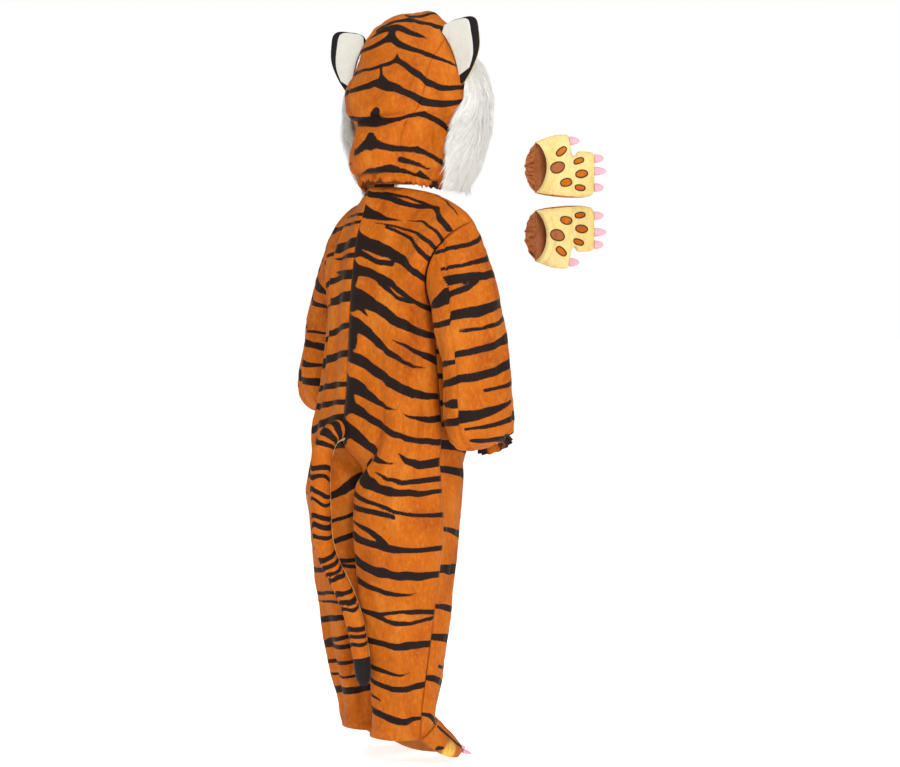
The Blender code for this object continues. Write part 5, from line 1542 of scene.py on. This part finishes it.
def hood_place(p, q):
    """How strokes lie on the hood: on a ball round the head's middle."""
    lon = np.radians(p)
    lat = np.radians(q)
    ray = [-np.sin(lon) * np.cos(lat), np.cos(lon) * np.cos(lat), np.sin(lat)]
    return STRIPE_BALL * np.stack(ray, axis=1)


def from_head_middle(points):
    """Directions to points of the hood from the middle of the head."""
    return unit(points - np.array((0.0, HEAD_MIDDLE_Y, HEAD_MIDDLE_Z)))


def hood_stripes(points):
    """How deep points of the hood are inside its stripes."""
    return stripe_depth(STRIPE_BALL * from_head_middle(points), HOOD_STROKES, hood_place)


print("strokes on the hood:", len(HOOD_STROKES))

# %% Folds of the hood
HOOD_HOLLOWS = 0.0072
# Folds over the nape, as bands round the head: degrees up from the fold's line, half width in degrees, depth
NAPE_BANDS = ((0.0, 2.6, -0.006), (9.0, 5.5, 0.0038), (-7.0, 4.0, 0.0022))
NAPE_LINE = -17.5
NAPE_SWING = 3.0
# The bands fade out between these degrees from the nape, and the gathers grow between these heights
NAPE_FADES = (62.0, 36.0)
NAPE_GATHERS = 0.011
NAPE_GATHERS_GROW = (0.05, 0.005)


def wrinkled(points, inside, seed, deep=HOOD_HOLLOWS):
    """Cloth with soft hollows, and a dip along its seams."""
    near = edge_distance(points)
    a = points[..., 0] + points[..., 1]
    b = points[..., 2]
    depth = deep * hills(a, b * 0.9 + 0.3 * a, 0.027, seed)
    depth += 0.35 * deep * hills(a, b, 0.01, seed + 1)
    return push_out(points, inside, depth * np.clip(near / 0.01, 0.1, 1.0) - seam_dip(near, 0.0012, 0.004))


def nape_folds(points):
    """A deep fold over the nape, and the gathers that the elastic below makes."""
    away = from_head_middle(points)
    lon = np.degrees(np.arctan2(-away[..., 0], away[..., 1]))
    lat = np.degrees(np.arcsin(away[..., 2]))
    up = lat - NAPE_LINE - NAPE_SWING * np.sin(np.radians(lon * 2.2 + 20.0))
    bands = sum(deep * np.exp(-((up - middle) / half) ** 2) for middle, half, deep in NAPE_BANDS)
    pleat = hills(lon * MM, lat * 0.0004, 0.0075, 95) + 0.6 * hills(lon * MM, lat * 0.0003, 0.0032, 96)
    gathers = NAPE_GATHERS * ramp(points[..., 2], *NAPE_GATHERS_GROW) ** 1.3 * pleat
    # The seams and the hem stay where they are, so that they stay shut
    held = ramp(edge_distance(points), 0.0, 0.012)
    return points + away * ((bands * ramp(np.abs(lon), *NAPE_FADES) + gathers) * held)[..., None]


print("folds over the nape:", len(NAPE_BANDS))

# %% Middle strip and sides
HOOD_SEAM_ROOM = 0.00005


def hood_cloth(name, coarse, seed):
    """A piece of the hood from its coarse grid: finer, folded, striped and turned."""
    points = refine(coarse, 3, 4)
    stripe = hood_stripes(points)
    points = draw_in(nape_folds(wrinkled(points, HOOD_INSIDE, seed)), HOOD_SEAM_ROOM, rows=True)
    rests_on = [] if name == "hood_middle" else ["plush_hood_middle"]
    striped_cloth(name, turned(points), turned(HOOD_INSIDE), {"stripe": stripe}, held="draped",
                  rests_on=rests_on)


middle_strip = [[hood_middle_point(share, 2 * across - 1) for across in shares(13)] for share in shares(45)]
hood_cloth("hood_middle", middle_strip, 91)
for side in (LEFT, RIGHT):
    side_grid = [[hood_side_point(side, across, down) for across in shares(17)] for down in shares(25)]
    hood_cloth("hood_side_" + SIDE_NAMES[side], side_grid, 93 + side)

# %% Casing
CASING_INSIDE = (0.0, HEAD_MIDDLE_Y + 0.02, 0.05)
# How much of the casing's height lies above the hood's hem, inside it
CASING_ABOVE = 0.2
CASING_PUFF = 0.0022
CASING_RIPPLES = 0.009


def hood_edge_point(around):
    """A point of the hood's hem. Around goes from -1, right of the face, over the nape to 1."""
    if abs(around) < CASING_NAPE_SHARE:
        return hood_middle_point(1.0, around / CASING_NAPE_SHARE)
    ahead = (abs(around) - CASING_NAPE_SHARE) / (1 - CASING_NAPE_SHARE)
    return hood_side_point(math.copysign(1, around), ahead * CASING_SIDE_REACH, 1.0)


def hood_casing():
    """The gathered strip round the elastic under the nape."""
    columns = CASING_WAVES * 12 + 1
    levels = [(1 + CASING_ABOVE) * share - CASING_ABOVE for share in shares(9)]
    points = []
    for down in levels:
        below = max(down, 0.0)
        puff = CASING_PUFF * math.sin(math.pi * below) ** 0.7 if down < 1.0 else 0.0
        row = []
        for share in shares(columns):
            point = hood_edge_point(2 * share - 1)
            out = (point - Vector((0.0, CASING_INSIDE[1], point.z))).normalized()
            wave = CASING_WAVE * math.cos(2 * math.pi * CASING_WAVES * share) * (0.35 + below)
            point += out * (wave - CASING_DRAW * down - CASING_INSET + puff)
            point.z -= SEAM_GAP + CASING_STEP + CASING_HEIGHT * down
            row.append(point)
        points.append(row)
    ripple = hills(np.arange(columns) * 0.0016, 0.0, 0.0042, 98)
    fall = np.clip(levels, 0.0, 1.0)[:, None]
    points = push_out(np.array(points), CASING_INSIDE, CASING_RIPPLES * fall * ripple)
    stripe = 0.008 * hills(points[..., 0], points[..., 1], 0.018, 97) - 0.003
    striped_cloth("hood_casing", turned(points), turned(CASING_INSIDE), {"stripe": stripe}, held="gathered",
                  rests_on=["plush_hood_middle"])


hood_casing()

# %% Chin piece
CHIN_INSIDE = (0.0, 0.0, 0.02)
CHIN_HOLLOWS = 0.0012


def hood_chin():
    """The band that joins both sides of the hood under the chin."""
    corners = [hood_side_point(side, 1.0, down) for side in (RIGHT, LEFT) for down in (CHIN_TOP, 1.0)]
    grid = []
    for down in shares(17):
        start = corners[0].lerp(corners[1], down)
        end = corners[2].lerp(corners[3], down)
        row = []
        for across in shares(49):
            point = start.lerp(end, across)
            point.y -= CHIN_REACH * math.sin(math.pi * across) ** 0.8 + SEAM_GAP * 2
            row.append(point)
        grid.append(row)
    points = wrinkled(np.array(grid), CHIN_INSIDE, 99, CHIN_HOLLOWS)
    striped_cloth("hood_chin", turned(points), turned(CHIN_INSIDE), {"stripe": hood_stripes(points)},
                  rests_on=["plush_hood_side_left", "plush_hood_side_right"])


hood_chin()

# %% [markdown]
# ## Ears
# Each ear has a black plush back with a white patch sewn on it, and a pale front. All are cupped sheets.

# %% Ears
# Ear outline from the inner root over the tip to the outer root: x, z
EAR_OUTLINE = (
    (0.055, 0.225), (0.074, 0.235), (0.0935, 0.239), (0.109, 0.2405), (0.118, 0.236), (0.1212, 0.226),
    (0.123, 0.206), (0.1205, 0.19), (0.109, 0.1665), (0.0945, 0.148),
)
# Place of the ears, depth of the cup, gaps to the hood at the root, drop of each ear and start of its cloth
EAR_Y = 0.0
EAR_CUP = 0.01
EAR_ROOT_GAP = 0.0003
EAR_TOP_GAP = 0.0012
EAR_DROP = {LEFT: -0.01, RIGHT: 0.0}
EAR_LIFT = 0.01
# Share of the outline where the patch's free border starts, and over which it gets its full width
BORDER_START = 0.22
BORDER_EASE = 0.3


def ear_point(side, along, out, forward):
    """A point of an ear. Along runs round the outline, out goes from the root to the edge."""
    table = [(index, *row) for index, row in enumerate(EAR_OUTLINE)]
    x, z = follow(table, along * (len(EAR_OUTLINE) - 1))
    z += EAR_DROP[side]
    first = EAR_OUTLINE[0]
    last = EAR_OUTLINE[-1]
    root_z = first[1] + (last[1] - first[1]) * along + EAR_DROP[side]
    root_x = hood_half_width(EAR_Y - max(forward, 0.0) - WALL, root_z) + EAR_ROOT_GAP
    root_x += EAR_TOP_GAP * (1 - along) ** 2
    x = max(x, root_x)
    cup = EAR_CUP * math.sin(math.pi * along) * out * (1 - 0.45 * out)
    return Vector((side * (root_x + (x - root_x) * out), EAR_Y + cup - forward, root_z + (z - root_z) * out))

# Name, first and last place along the outline, reach, free border, place ahead, wall, finish, slot
EAR_LAYERS = (
    ("ear_back_", 0.0, 1.0, 1.0, 0.0, 0.0, WALL, black_plush, "black_plush"),
    ("ear_patch_", 0.06, 0.86, 0.96, 0.22, -0.0015, PATCH_WALL, white_plush, "white_long_pile"),
    ("ear_front_", 0.0, 1.0, 0.985, 0.0, 0.0021, WALL, yellow_plush, "pale_yellow_plush"),
)


def ear(side):
    """The three layers of an ear."""
    for layer, first, last, end, border, forward, wall, finish, slot in EAR_LAYERS:
        coarse = []
        for out in shares(7):
            row = []
            for share in shares(15):
                along = first + (last - first) * share
                far = end * (1 - border * ease((along - BORDER_START) / BORDER_EASE))
                row.append(ear_point(side, along, EAR_LIFT + (far - EAR_LIFT) * out, forward))
            coarse.append(row)
        points = refine(coarse, 4, 4)
        name = layer + SIDE_NAMES[side]
        patch = layer == "ear_patch_"
        cloth("plush_" + name, turned(points), turned((side * 0.09, -0.2, 0.2)), finish, slot, [name],
              {"stripe": np.full(points.shape[:2], NO_STRIPE)}, wall=wall, lining=finish,
              held="laid" if patch else "stretched",
              rests_on=["plush_ear_back_" + SIDE_NAMES[side] if patch else "plush_hood_middle"])


for side in (LEFT, RIGHT):
    ear(side)

# %% [markdown]
# ## Muzzle
# Over the brow sits a small stuffed muzzle in the same plush, with a few plain dark marks.

# %% Muzzle
# Padded muzzle over the brow: y, z, half width, half height of its rings from back to front
MUZZLE_ROWS = (
    (-0.0995, 0.1744, 0.056, 0.0172), (-0.11, 0.1625, 0.068, 0.0215), (-0.126, 0.153, 0.069, 0.0245),
    (-0.143, 0.148, 0.059, 0.0225), (-0.157, 0.144, 0.04, 0.017), (-0.163, 0.1425, 0.02, 0.009),
)
MUZZLE_STROKES = (
    (-44, 150, -52, 158, 0, 3, 5, 2), (44, 150, 52, 158, 0, 3, 5, 2), (-40, 140, -40, 141, 0, 4, 4, 4),
    (40, 140, 40, 141, 0, 4, 4, 4), (-52, 143, -52, 144, 0, 3, 4, 3), (52, 143, 52, 144, 0, 3, 4, 3),
    (-62, 158, -64, 166, 0, 2, 4, 2), (62, 158, 64, 166, 0, 2, 4, 2), (0, 150, 0, 152, 0, 14, 18, 14),
)
MUZZLE_COLUMNS = 32
MUZZLE_SQUARENESS = 0.85
MUZZLE_LEAN = 0.006
MUZZLE_BUMPS = 0.0016
MUZZLE_WAVER = 0.0008


def muzzle():
    """The padded muzzle, through rings from its back to its nose."""
    rings = []
    for y, z, half_width, half_height in MUZZLE_ROWS:
        ring = []
        for turn in np.linspace(0, 2 * math.pi, MUZZLE_COLUMNS, endpoint=False):
            ring.append((half_width * power(math.cos(turn), MUZZLE_SQUARENESS),
                         y + MUZZLE_LEAN * math.sin(turn),
                         z + half_height * power(math.sin(turn), MUZZLE_SQUARENESS)))
        rings.append(ring)
    points = refine(rings, 6, 3, closed=True)
    depth = MUZZLE_BUMPS * hills(points[..., 0], points[..., 2], 0.016, 101)
    points = push_out(points, points.reshape(-1, 3).mean(0), depth, True)
    stripe = stripe_depth(points[..., ::2], MUZZLE_STROKES, flat_place(MM), MUZZLE_WAVER)
    closed_rings("plush_muzzle", turned(points), striped_plush, ["muzzle"],
                 {"stripe": stripe})


muzzle()

# %% [markdown]
# ## Ruffs
# Long white pile stands round the face. Under it lies a soft pad. The pile is some thousands of thin tapered
# strips, each rooted in the pad, combed down and outwards. A fixed seed draws them, so each run gives the
# same fur.

# %% Shape and fabric of the ruffs
# Cheek ruff: z, y of the back edge, y of the front edge, thickness of the pile
RUFF_ROWS = (
    (-0.002, 0.0, -0.06, 0.008), (0.02, 0.001, -0.076, 0.024), (0.05, 0.003, -0.084, 0.03),
    (0.08, 0.001, -0.086, 0.035), (0.105, -0.003, -0.088, 0.03), (0.13, -0.004, -0.09, 0.029),
    (0.155, -0.009, -0.09, 0.027), (0.18, -0.022, -0.086, 0.022), (0.196, -0.04, -0.08, 0.008),
)
# Gap to the hood, thickness at the pile's edges and how fast it grows, and the share of it that is the pad
RUFF_GAP = 0.0022
RUFF_EDGE = 0.1
RUFF_ROUND = 0.55
PAD_SHARE = 0.55
# Colours of the hairs: at their root, with painted shade deep in the pile, at their tip, and between the
# locks, with painted shade
HAIR_ROOT_SHADE = (0.64, 0.61, 0.57, 1.0)
HAIR_TIP = (0.8, 0.79, 0.75, 1.0)
HAIR_SHADE = (0.61, 0.58, 0.55, 1.0)
hair_finish = bpy.data.materials.new("white_long_pile")
hair_finish.use_nodes = True
hair_tree = hair_finish.node_tree
hair_shader = hair_tree.nodes["Principled BSDF"]
along_hair = painted(hair_tree, "along")
lock = noise(hair_tree, put(hair_tree, "ShaderNodeTexCoord")["Object"], 160.0)
# Painted shade: the hairs darken towards their roots and in the hollows between the locks
hair_colour = blend(hair_tree, step(hair_tree, along_hair, 0.0, 0.45), HAIR_ROOT_SHADE, HAIR_TIP)
hair_colour = blend(hair_tree, step(hair_tree, lock, 0.55, 0.3, 0.0, 0.35), hair_colour, HAIR_SHADE)
hair_tree.links.new(hair_colour, hair_shader.inputs["Base Color"])
hair_tree.links.new(step(hair_tree, lock, 0.3, 0.7, 0.45, 0.6), hair_shader.inputs["Roughness"])
hair_shader.inputs["Sheen Weight"].default_value = 0.3


def ruff_point(side, across, z, share):
    """A point of the ruff. The share goes from the hood's side, 0, to the outside of the pile, 1."""
    back, front, thick = follow(RUFF_ROWS, z)
    y = back + (front - back) * across
    base = hood_half_width(y, max(z, 0.01)) + RUFF_GAP
    swell = thick * (RUFF_EDGE + (1 - RUFF_EDGE) * max(math.sin(math.pi * across), 0.0) ** RUFF_ROUND)
    return side * (base + swell * share), y, z


def ruff_grid(side, ups, acrosses, share):
    """Points of the ruff at a share of its thickness."""
    low = RUFF_ROWS[0][0]
    high = RUFF_ROWS[-1][0]
    return [[ruff_point(side, across, low + (high - low) * up, share) for across in shares(acrosses)]
            for up in shares(ups)]


def ruff_pad(side):
    """The soft pad that the hairs grow from."""
    under = ruff_grid(side, 15, 9, 0.0)
    over = ruff_grid(side, 15, 9, PAD_SHARE)
    points = refine([low + high[::-1] for low, high in zip(under, over)], 3, 1, closed=True)
    closed_rings("plush_ruff_" + SIDE_NAMES[side], turned(points), white_plush,
                 ["ruff_" + SIDE_NAMES[side]])


print("rows of a ruff:", len(RUFF_ROWS))

# %% Hairs of the ruffs
HAIRS = 20000
# Tables of the surface that the hairs grow from and of the outside of the pile: rows, columns, root's share
PILE_ROWS = 23
PILE_COLUMNS = 13
ROOT_SHARE = PAD_SHARE * 0.8
# The left hairs stand further out, because the picture shows them past the hood
REACH = {LEFT: 1.7, RIGHT: 1.0}
# Places along a hair, and the share of its width that it has at each. It ends in a point.
HAIR_PLACES = (0.0, 0.33, 0.68, 1.0)
HAIR_WIDTHS = (1.0, 0.95, 0.6)
HAIR_WIDTH = 0.00045
HAIR_WIDTH_MORE = 0.0004
# Height of the topmost roots as a share of the ruff, and how far hairs fan out, lean in locks and stray
HAIR_TOP = 1.04
HAIR_FAN = 0.34
HAIR_LOCKS = 0.22
HAIR_STRAY = 0.05
# Beside the brow, between these heights, the pile gets this much shorter and is combed forwards by this
BROW_HEIGHTS = (0.62, 0.87)
BROW_SHORTER = 0.55
BROW_LEAN = 0.16


def in_pile(tables, u, v, share):
    """Points in the pile, by the share of its height, of its width and of its thickness."""
    i = np.clip(u * (PILE_ROWS - 1), 0, PILE_ROWS - 1.001)
    j = np.clip(v * (PILE_COLUMNS - 1), 0, PILE_COLUMNS - 1.001)
    a, b = np.floor(i).astype(int), np.floor(j).astype(int)
    s, t = (i - a)[:, None], (j - b)[:, None]
    found = []
    for table in tables:
        near = table[a, b] * (1 - t) + table[a, b + 1] * t
        found.append(near * (1 - s) + (table[a + 1, b] * (1 - t) + table[a + 1, b + 1] * t) * s)
    point = found[0] * (1 - share[:, None]) + found[1] * share[:, None]
    point[:, 2] += np.minimum(u, 0.0) * (RUFF_ROWS[-1][0] - RUFF_ROWS[0][0])
    point[:, 1] += (np.minimum(v, 0.0) + np.maximum(v - 1.0, 0.0)) * -0.09
    return point


def hair_paths(side, rng):
    """Where each hair runs, as its points at the four places, and its width."""
    tables = [np.array(ruff_grid(side, PILE_ROWS, PILE_COLUMNS, share)) for share in (ROOT_SHARE, 1.0)]
    up = HAIR_TOP - rng.random(HAIRS) ** 1.05
    across = rng.random(HAIRS)
    comb = hills(up * 0.2, across * 0.08, 0.018, 210 + side)
    lift = rng.random(HAIRS)
    fall = (0.1 + 0.09 * rng.random(HAIRS)) * (0.4 + 0.6 * np.clip(up * 3, 0, 1))
    # Beside the brow the pile is short and combed forwards
    brow = ramp(up, *BROW_HEIGHTS)
    lift *= 1 - BROW_SHORTER * brow
    spread = (across - 0.5) * HAIR_FAN + comb * HAIR_LOCKS + rng.normal(0.0, HAIR_STRAY, HAIRS)
    spread = spread * (1 - 0.4 * brow) + BROW_LEAN * brow
    width = HAIR_WIDTH + HAIR_WIDTH_MORE * rng.random(HAIRS)
    path = []
    for t in HAIR_PLACES:
        share = 0.15 + (0.25 + 0.75 * lift) * t ** 0.7 * REACH[side]
        path.append(in_pile(tables, up - fall * t ** 1.3, across + spread * t, share))
    return path, width


def ruff_pile(side):
    """The hairs, as flat tapered strips of seven points."""
    rng = np.random.default_rng(200 + side)
    path, width = hair_paths(side, rng)
    flat = np.cross(path[-1] - path[0], rng.normal(size=(HAIRS, 3)))
    flat /= np.linalg.norm(flat, axis=1, keepdims=True)
    vertices = []
    values = []
    for t, share, middle in zip(HAIR_PLACES, HAIR_WIDTHS, path):
        half = flat * (width * share)[:, None] * 0.5
        vertices += [middle - half, middle + half]
        values += [np.full(HAIRS, t)] * 2
    vertices = np.stack([*vertices, path[-1]], axis=1).reshape(-1, 3)
    values = np.stack([*values, np.ones(HAIRS)], axis=1).ravel()
    faces = []
    for k in range(0, 7 * HAIRS, 7):
        faces += [(k, k + 1, k + 3, k + 2), (k + 2, k + 3, k + 5, k + 4), (k + 4, k + 5, k + 6)]
    piece = add_piece("pile_ruff_" + SIDE_NAMES[side], turned(vertices), faces, [hair_finish],
                      [], {"along": values})
    print(piece.name, len(faces), "faces")


for side in (LEFT, RIGHT):
    ruff_pad(side)
    ruff_pile(side)

# %% [markdown]
# ## Gloves
# A glove is a flat mitten: a pale palm with printed pads, an orange back, a gathered brown lining at the
# wrist and four felt claws. Both lie beside the suit, palm towards the picture, thumbs up and down.

# %% Shape of the gloves
# Glove, flat: along the hand from the wrist, both edges of the palm, puffing. The thumb is on the upper edge.
GLOVE_ROWS = (
    (0.0, -0.032, 0.04, 0.007), (0.012, -0.035, 0.045, 0.0095), (0.024, -0.0368, 0.049, 0.011),
    (0.036, -0.038, 0.0508, 0.0115), (0.045, -0.0388, 0.05, 0.011), (0.048, -0.0388, 0.048, 0.01),
    (0.051, -0.0388, 0.029, 0.01), (0.062, -0.0388, 0.027, 0.01), (0.074, -0.0375, 0.0265, 0.0085),
    (0.081, -0.0345, 0.025, 0.0055), (0.0845, -0.0295, 0.0215, 0.002),
)
# Dip of the palm's wrist, how round it and the puffing are, and half the distance from palm to back
GLOVE_WRIST_DIP = 0.016
GLOVE_WRIST_ROUND = 0.8
GLOVE_PUFF_ROUND = 0.6
GLOVE_EDGE = 0.0015
# Lining: reach out of the wrist, share of it at the sides, draw of the elastic, rise
GLOVE_LINING_REACH = 0.016
GLOVE_LINING_SIDES = 0.55
GLOVE_LINING_DRAW = 0.25
GLOVE_LINING_RISE = 0.004
# Claws of a glove: place along the hand, across it, length
GLOVE_CLAWS = (
    (0.0849, -0.0245, 0.013), (0.0849, -0.001, 0.017), (0.0849, 0.017, 0.013), (0.0503, 0.042, 0.014),
)
GLOVE_CLAW_RADIUS = 0.0062
# The thumb's claw, by its number from the lowest finger up, and how much deeper its root is set
GLOVE_THUMB = 4
GLOVE_THUMB_SEAT = 0.0012
# Place of each glove as the camera sees it, to the right and up, and which way up it lies
GLOVE_PLACES = {LEFT: (0.185, 0.028, 1), RIGHT: (0.185, -0.061, -1)}


def glove_point(share, across, layer):
    """A point of the palm (layer 1) or the back (layer -1)."""
    length = GLOVE_ROWS[-1][0]
    low, high, puff = follow(GLOVE_ROWS, share * length)
    y = low + (high - low) * across
    round_off = math.sin(math.pi * across) ** GLOVE_PUFF_ROUND
    return Vector((share * length, y, layer * (puff * round_off + GLOVE_EDGE)))


print("rows of a glove:", len(GLOVE_ROWS), "claws:", len(GLOVE_CLAWS))

# %% Fabric of the palms
# Pads on the palm: rounded strokes in millimetres along the hand and across it, and the one that is brown
PAD_STROKES = (
    (40, -18, 48, -16, 0, 9, 11, 9), (60, -24, 68, -25, 0, 7, 8, 6), (62, -6, 71, -5, 0, 8, 10, 7),
    (58, 12, 66, 14, 0, 7, 8, 7), (34, 24, 41, 30, 0, 8, 9, 7),
)
BROWN_PAD_STROKES = (
    (28, 2, 36, 6, 0, 12, 15, 11),
)
# Dark marks on the orange rim that comes round from the back, and on the back itself
RIM_STROKES = (
    (7, -40, 8, -30, 0, 2, 2, 2), (24, -42, 25, -34, 0, 2, 2, 2), (52, -42, 53, -36, 0, 2, 2, 1),
)
TICK_STROKES = (
    (6, -32, 10, -38, 0, 3, 4, 2), (20, -32, 24, -40, 0, 3, 4, 2), (34, -33, 38, -41, 0, 3, 4, 2),
    (48, -34, 52, -41, 0, 3, 4, 2), (62, -32, 66, -41, 0, 3, 4, 2), (12, 30, 16, 46, 0, 3, 5, 3),
    (30, 34, 34, 52, 0, 3, 5, 3), (58, 8, 60, 28, 0, 3, 5, 3), (72, 6, 74, 26, 0, 3, 5, 3),
    (10, -8, 16, 10, 3, 3, 6, 3), (28, -14, 34, 8, 3, 3, 7, 3), (46, -12, 52, 10, 3, 3, 6, 3),
    (66, -10, 70, 6, 2, 2, 5, 2),
)
PRINT_EDGE = 0.0002
OUTLINE = 0.0009
palm_plush = cloth_finish("palm_plush", YELLOWS, tint=PALE_TINT, sheen=0.3)
palm_tree = palm_plush.node_tree
palm_nap = nap_of(palm_plush).inputs
pad, brown, edge, mark = (painted(palm_tree, name) for name in ("pad", "brown", "edge", "mark"))
in_edge = step(palm_tree, edge, -PRINT_EDGE, PRINT_EDGE)
in_pad = sums(palm_tree, "MAXIMUM", step(palm_tree, pad, -PRINT_EDGE, PRINT_EDGE), in_edge)
in_brown = step(palm_tree, brown, -PRINT_EDGE, PRINT_EDGE)
for index, label in enumerate(("Cloth", "Light", "Deep")):
    colour = blend(palm_tree, in_pad, (*YELLOWS[index], 1.0), (*ORANGES[index], 1.0))
    colour = blend(palm_tree, in_brown, colour, (*BROWNS[index], 1.0))
    palm_tree.links.new(colour, palm_nap[label])
# A thin dark line runs round every pad
rim = sums(palm_tree, "ABSOLUTE", sums(palm_tree, "MAXIMUM", pad, brown))
rim = sums(palm_tree, "SUBTRACT", OUTLINE, rim)
rim = sums(palm_tree, "MAXIMUM", rim, sums(palm_tree, "MINIMUM", mark, edge))
palm_tree.links.new(rim, palm_nap["Stripe"])
palm_nap["Fuzz"].default_value = 0.0003
palm_nap["Dark"].default_value = (0.03, 0.012, 0.01, 1.0)

print("pads on a palm:", len(PAD_STROKES) + len(BROWN_PAD_STROKES))

# %% Making a glove
GLOVE_FOLDS = 0.003
GLOVE_RIPPLES = 0.0007
GLOVE_WAVER = 0.0008
RIM_WAVER = 0.0004
# The turned hem of the palm's wrist, a roll and a groove: distance from the edge, half width, height
WRIST_HEM = ((0.0045, 0.0034, 0.0024), (0.011, 0.002, -0.0016))
# Widest part of the orange rim along the lower edge of the palm, and its way back under the edge
RIM_WIDTH = 0.0026
RIM_UNDER = 0.0004
LINING_PLEATS = 0.013
LINING_CRINKLES = 0.006
LINING_WALL = 0.0008


def glove_layer(side, layer, place, inside):
    """The palm or the back of a glove."""
    name = f"glove_{layer}_{SIDE_NAMES[side]}"
    palm = layer == "palm"
    length = GLOVE_ROWS[-1][0]
    coarse = []
    for down in shares(29):
        row = []
        for across in shares(15):
            dip = GLOVE_WRIST_DIP * math.sin(math.pi * across) ** GLOVE_WRIST_ROUND / length if palm else 0.0
            row.append(glove_point(dip * (1 - down) + down, across, 1 if palm else -1))
        coarse.append(row)
    flat = refine(coarse, 3, 3)
    along = flat[..., 0]
    depth = GLOVE_FOLDS * hills(along, flat[..., 1] + 0.5 * along, 0.019, 300 + side)
    depth += GLOVE_RIPPLES * hills(along, flat[..., 1], 0.007, 303 + side)
    depth *= ramp(edge_distance(flat), 0.0, 0.006)
    if palm:
        wrist = way_down(flat)
        depth += sum(high * np.exp(-((wrist - far) / half) ** 2) for far, half, high in WRIST_HEM)
        flat[..., 2] += depth
        beside = flat[..., 1] - flat[..., 1].min(axis=1, keepdims=True)
        strip = RIM_WIDTH * np.sin(math.pi * np.clip(along / length + 0.1, 0.0, 1.0)) - RIM_UNDER
        values = {"pad": stripe_depth(flat[..., :2], PAD_STROKES, flat_place(MM), GLOVE_WAVER),
                  "brown": stripe_depth(flat[..., :2], BROWN_PAD_STROKES, flat_place(MM), GLOVE_WAVER),
                  "edge": strip - beside,
                  "mark": stripe_depth(flat[..., :2], RIM_STROKES, flat_place(MM), RIM_WAVER)}
        cloth("plush_" + name, place(flat), inside, palm_plush, "pale_yellow_plush", [name], values,
              wall=THIN_WALL, held="laid", lining=brown_lining,
              rests_on=["plush_glove_back_" + SIDE_NAMES[side]])
    else:
        flat[..., 2] -= depth
        values = {"stripe": stripe_depth(flat[..., :2], TICK_STROKES, flat_place(MM), GLOVE_WAVER)}
        striped_cloth(name, place(flat), inside, values, wall=THIN_WALL, held="laid", rests_on=[],
                      lining=brown_lining)


def glove_lining(side, place, inside):
    """The gathered lining that shows at the wrist."""
    grid = []
    for out in shares(17):
        bulge = math.sin(math.pi * out) ** 0.8
        row = []
        for across in shares(97):
            point = glove_point(0.0, across, -1)
            pleat = hills(across * 0.07, out * 0.006, 0.0066, 310 + side)
            crinkle = hills(across * 0.07, out * 0.006, 0.0026, 312 + side)
            reach = out * (GLOVE_LINING_SIDES + (1 - GLOVE_LINING_SIDES) * math.sin(math.pi * across))
            point.x += 0.0015 + (0.002 * crinkle + 0.004 * pleat - GLOVE_LINING_REACH) * reach
            point.y *= 1 - GLOVE_LINING_DRAW * out
            point.z += (LINING_PLEATS * pleat + LINING_CRINKLES * crinkle) * bulge
            point.z += GLOVE_LINING_RISE * out + THIN_WALL + 0.0006
            row.append(point)
        grid.append(row)
    name = SIDE_NAMES[side]
    cloth("lining_glove_" + name, place(grid), inside, brown_lining, "striped_orange_plush", [],
          wall=LINING_WALL, held="gathered", rests_on=["plush_glove_back_" + name], lining=brown_lining)


def glove(side):
    """A whole glove, laid in the plane of the picture."""
    aside, up, mirror = GLOVE_PLACES[side]
    axes = np.array([VIEW_RIGHT, (0.0, 0.0, 1.0), VIEW_TOWARDS])

    def place(points):
        points = np.array(points, dtype=float)
        points[..., 1] *= mirror
        return points @ axes + np.array(VIEW_RIGHT) * aside + np.array((0.0, 0.0, up))

    inside = place((0.045, 0.0, 0.0))
    for layer in ("palm", "back"):
        glove_layer(side, layer, place, inside)
    glove_lining(side, place, inside)
    for number, (x, y, reach) in enumerate(GLOVE_CLAWS, start=1):
        root = place((x, y, 0.0))
        root -= VIEW_RIGHT * (GLOVE_THUMB_SEAT if number == GLOVE_THUMB else 0.0)
        claw(f"glove_claw_{SIDE_NAMES[side]}_{number}", root, VIEW_RIGHT, reach, GLOVE_CLAW_RADIUS, 0.72, 1.0)


for side in (LEFT, RIGHT):
    glove(side)
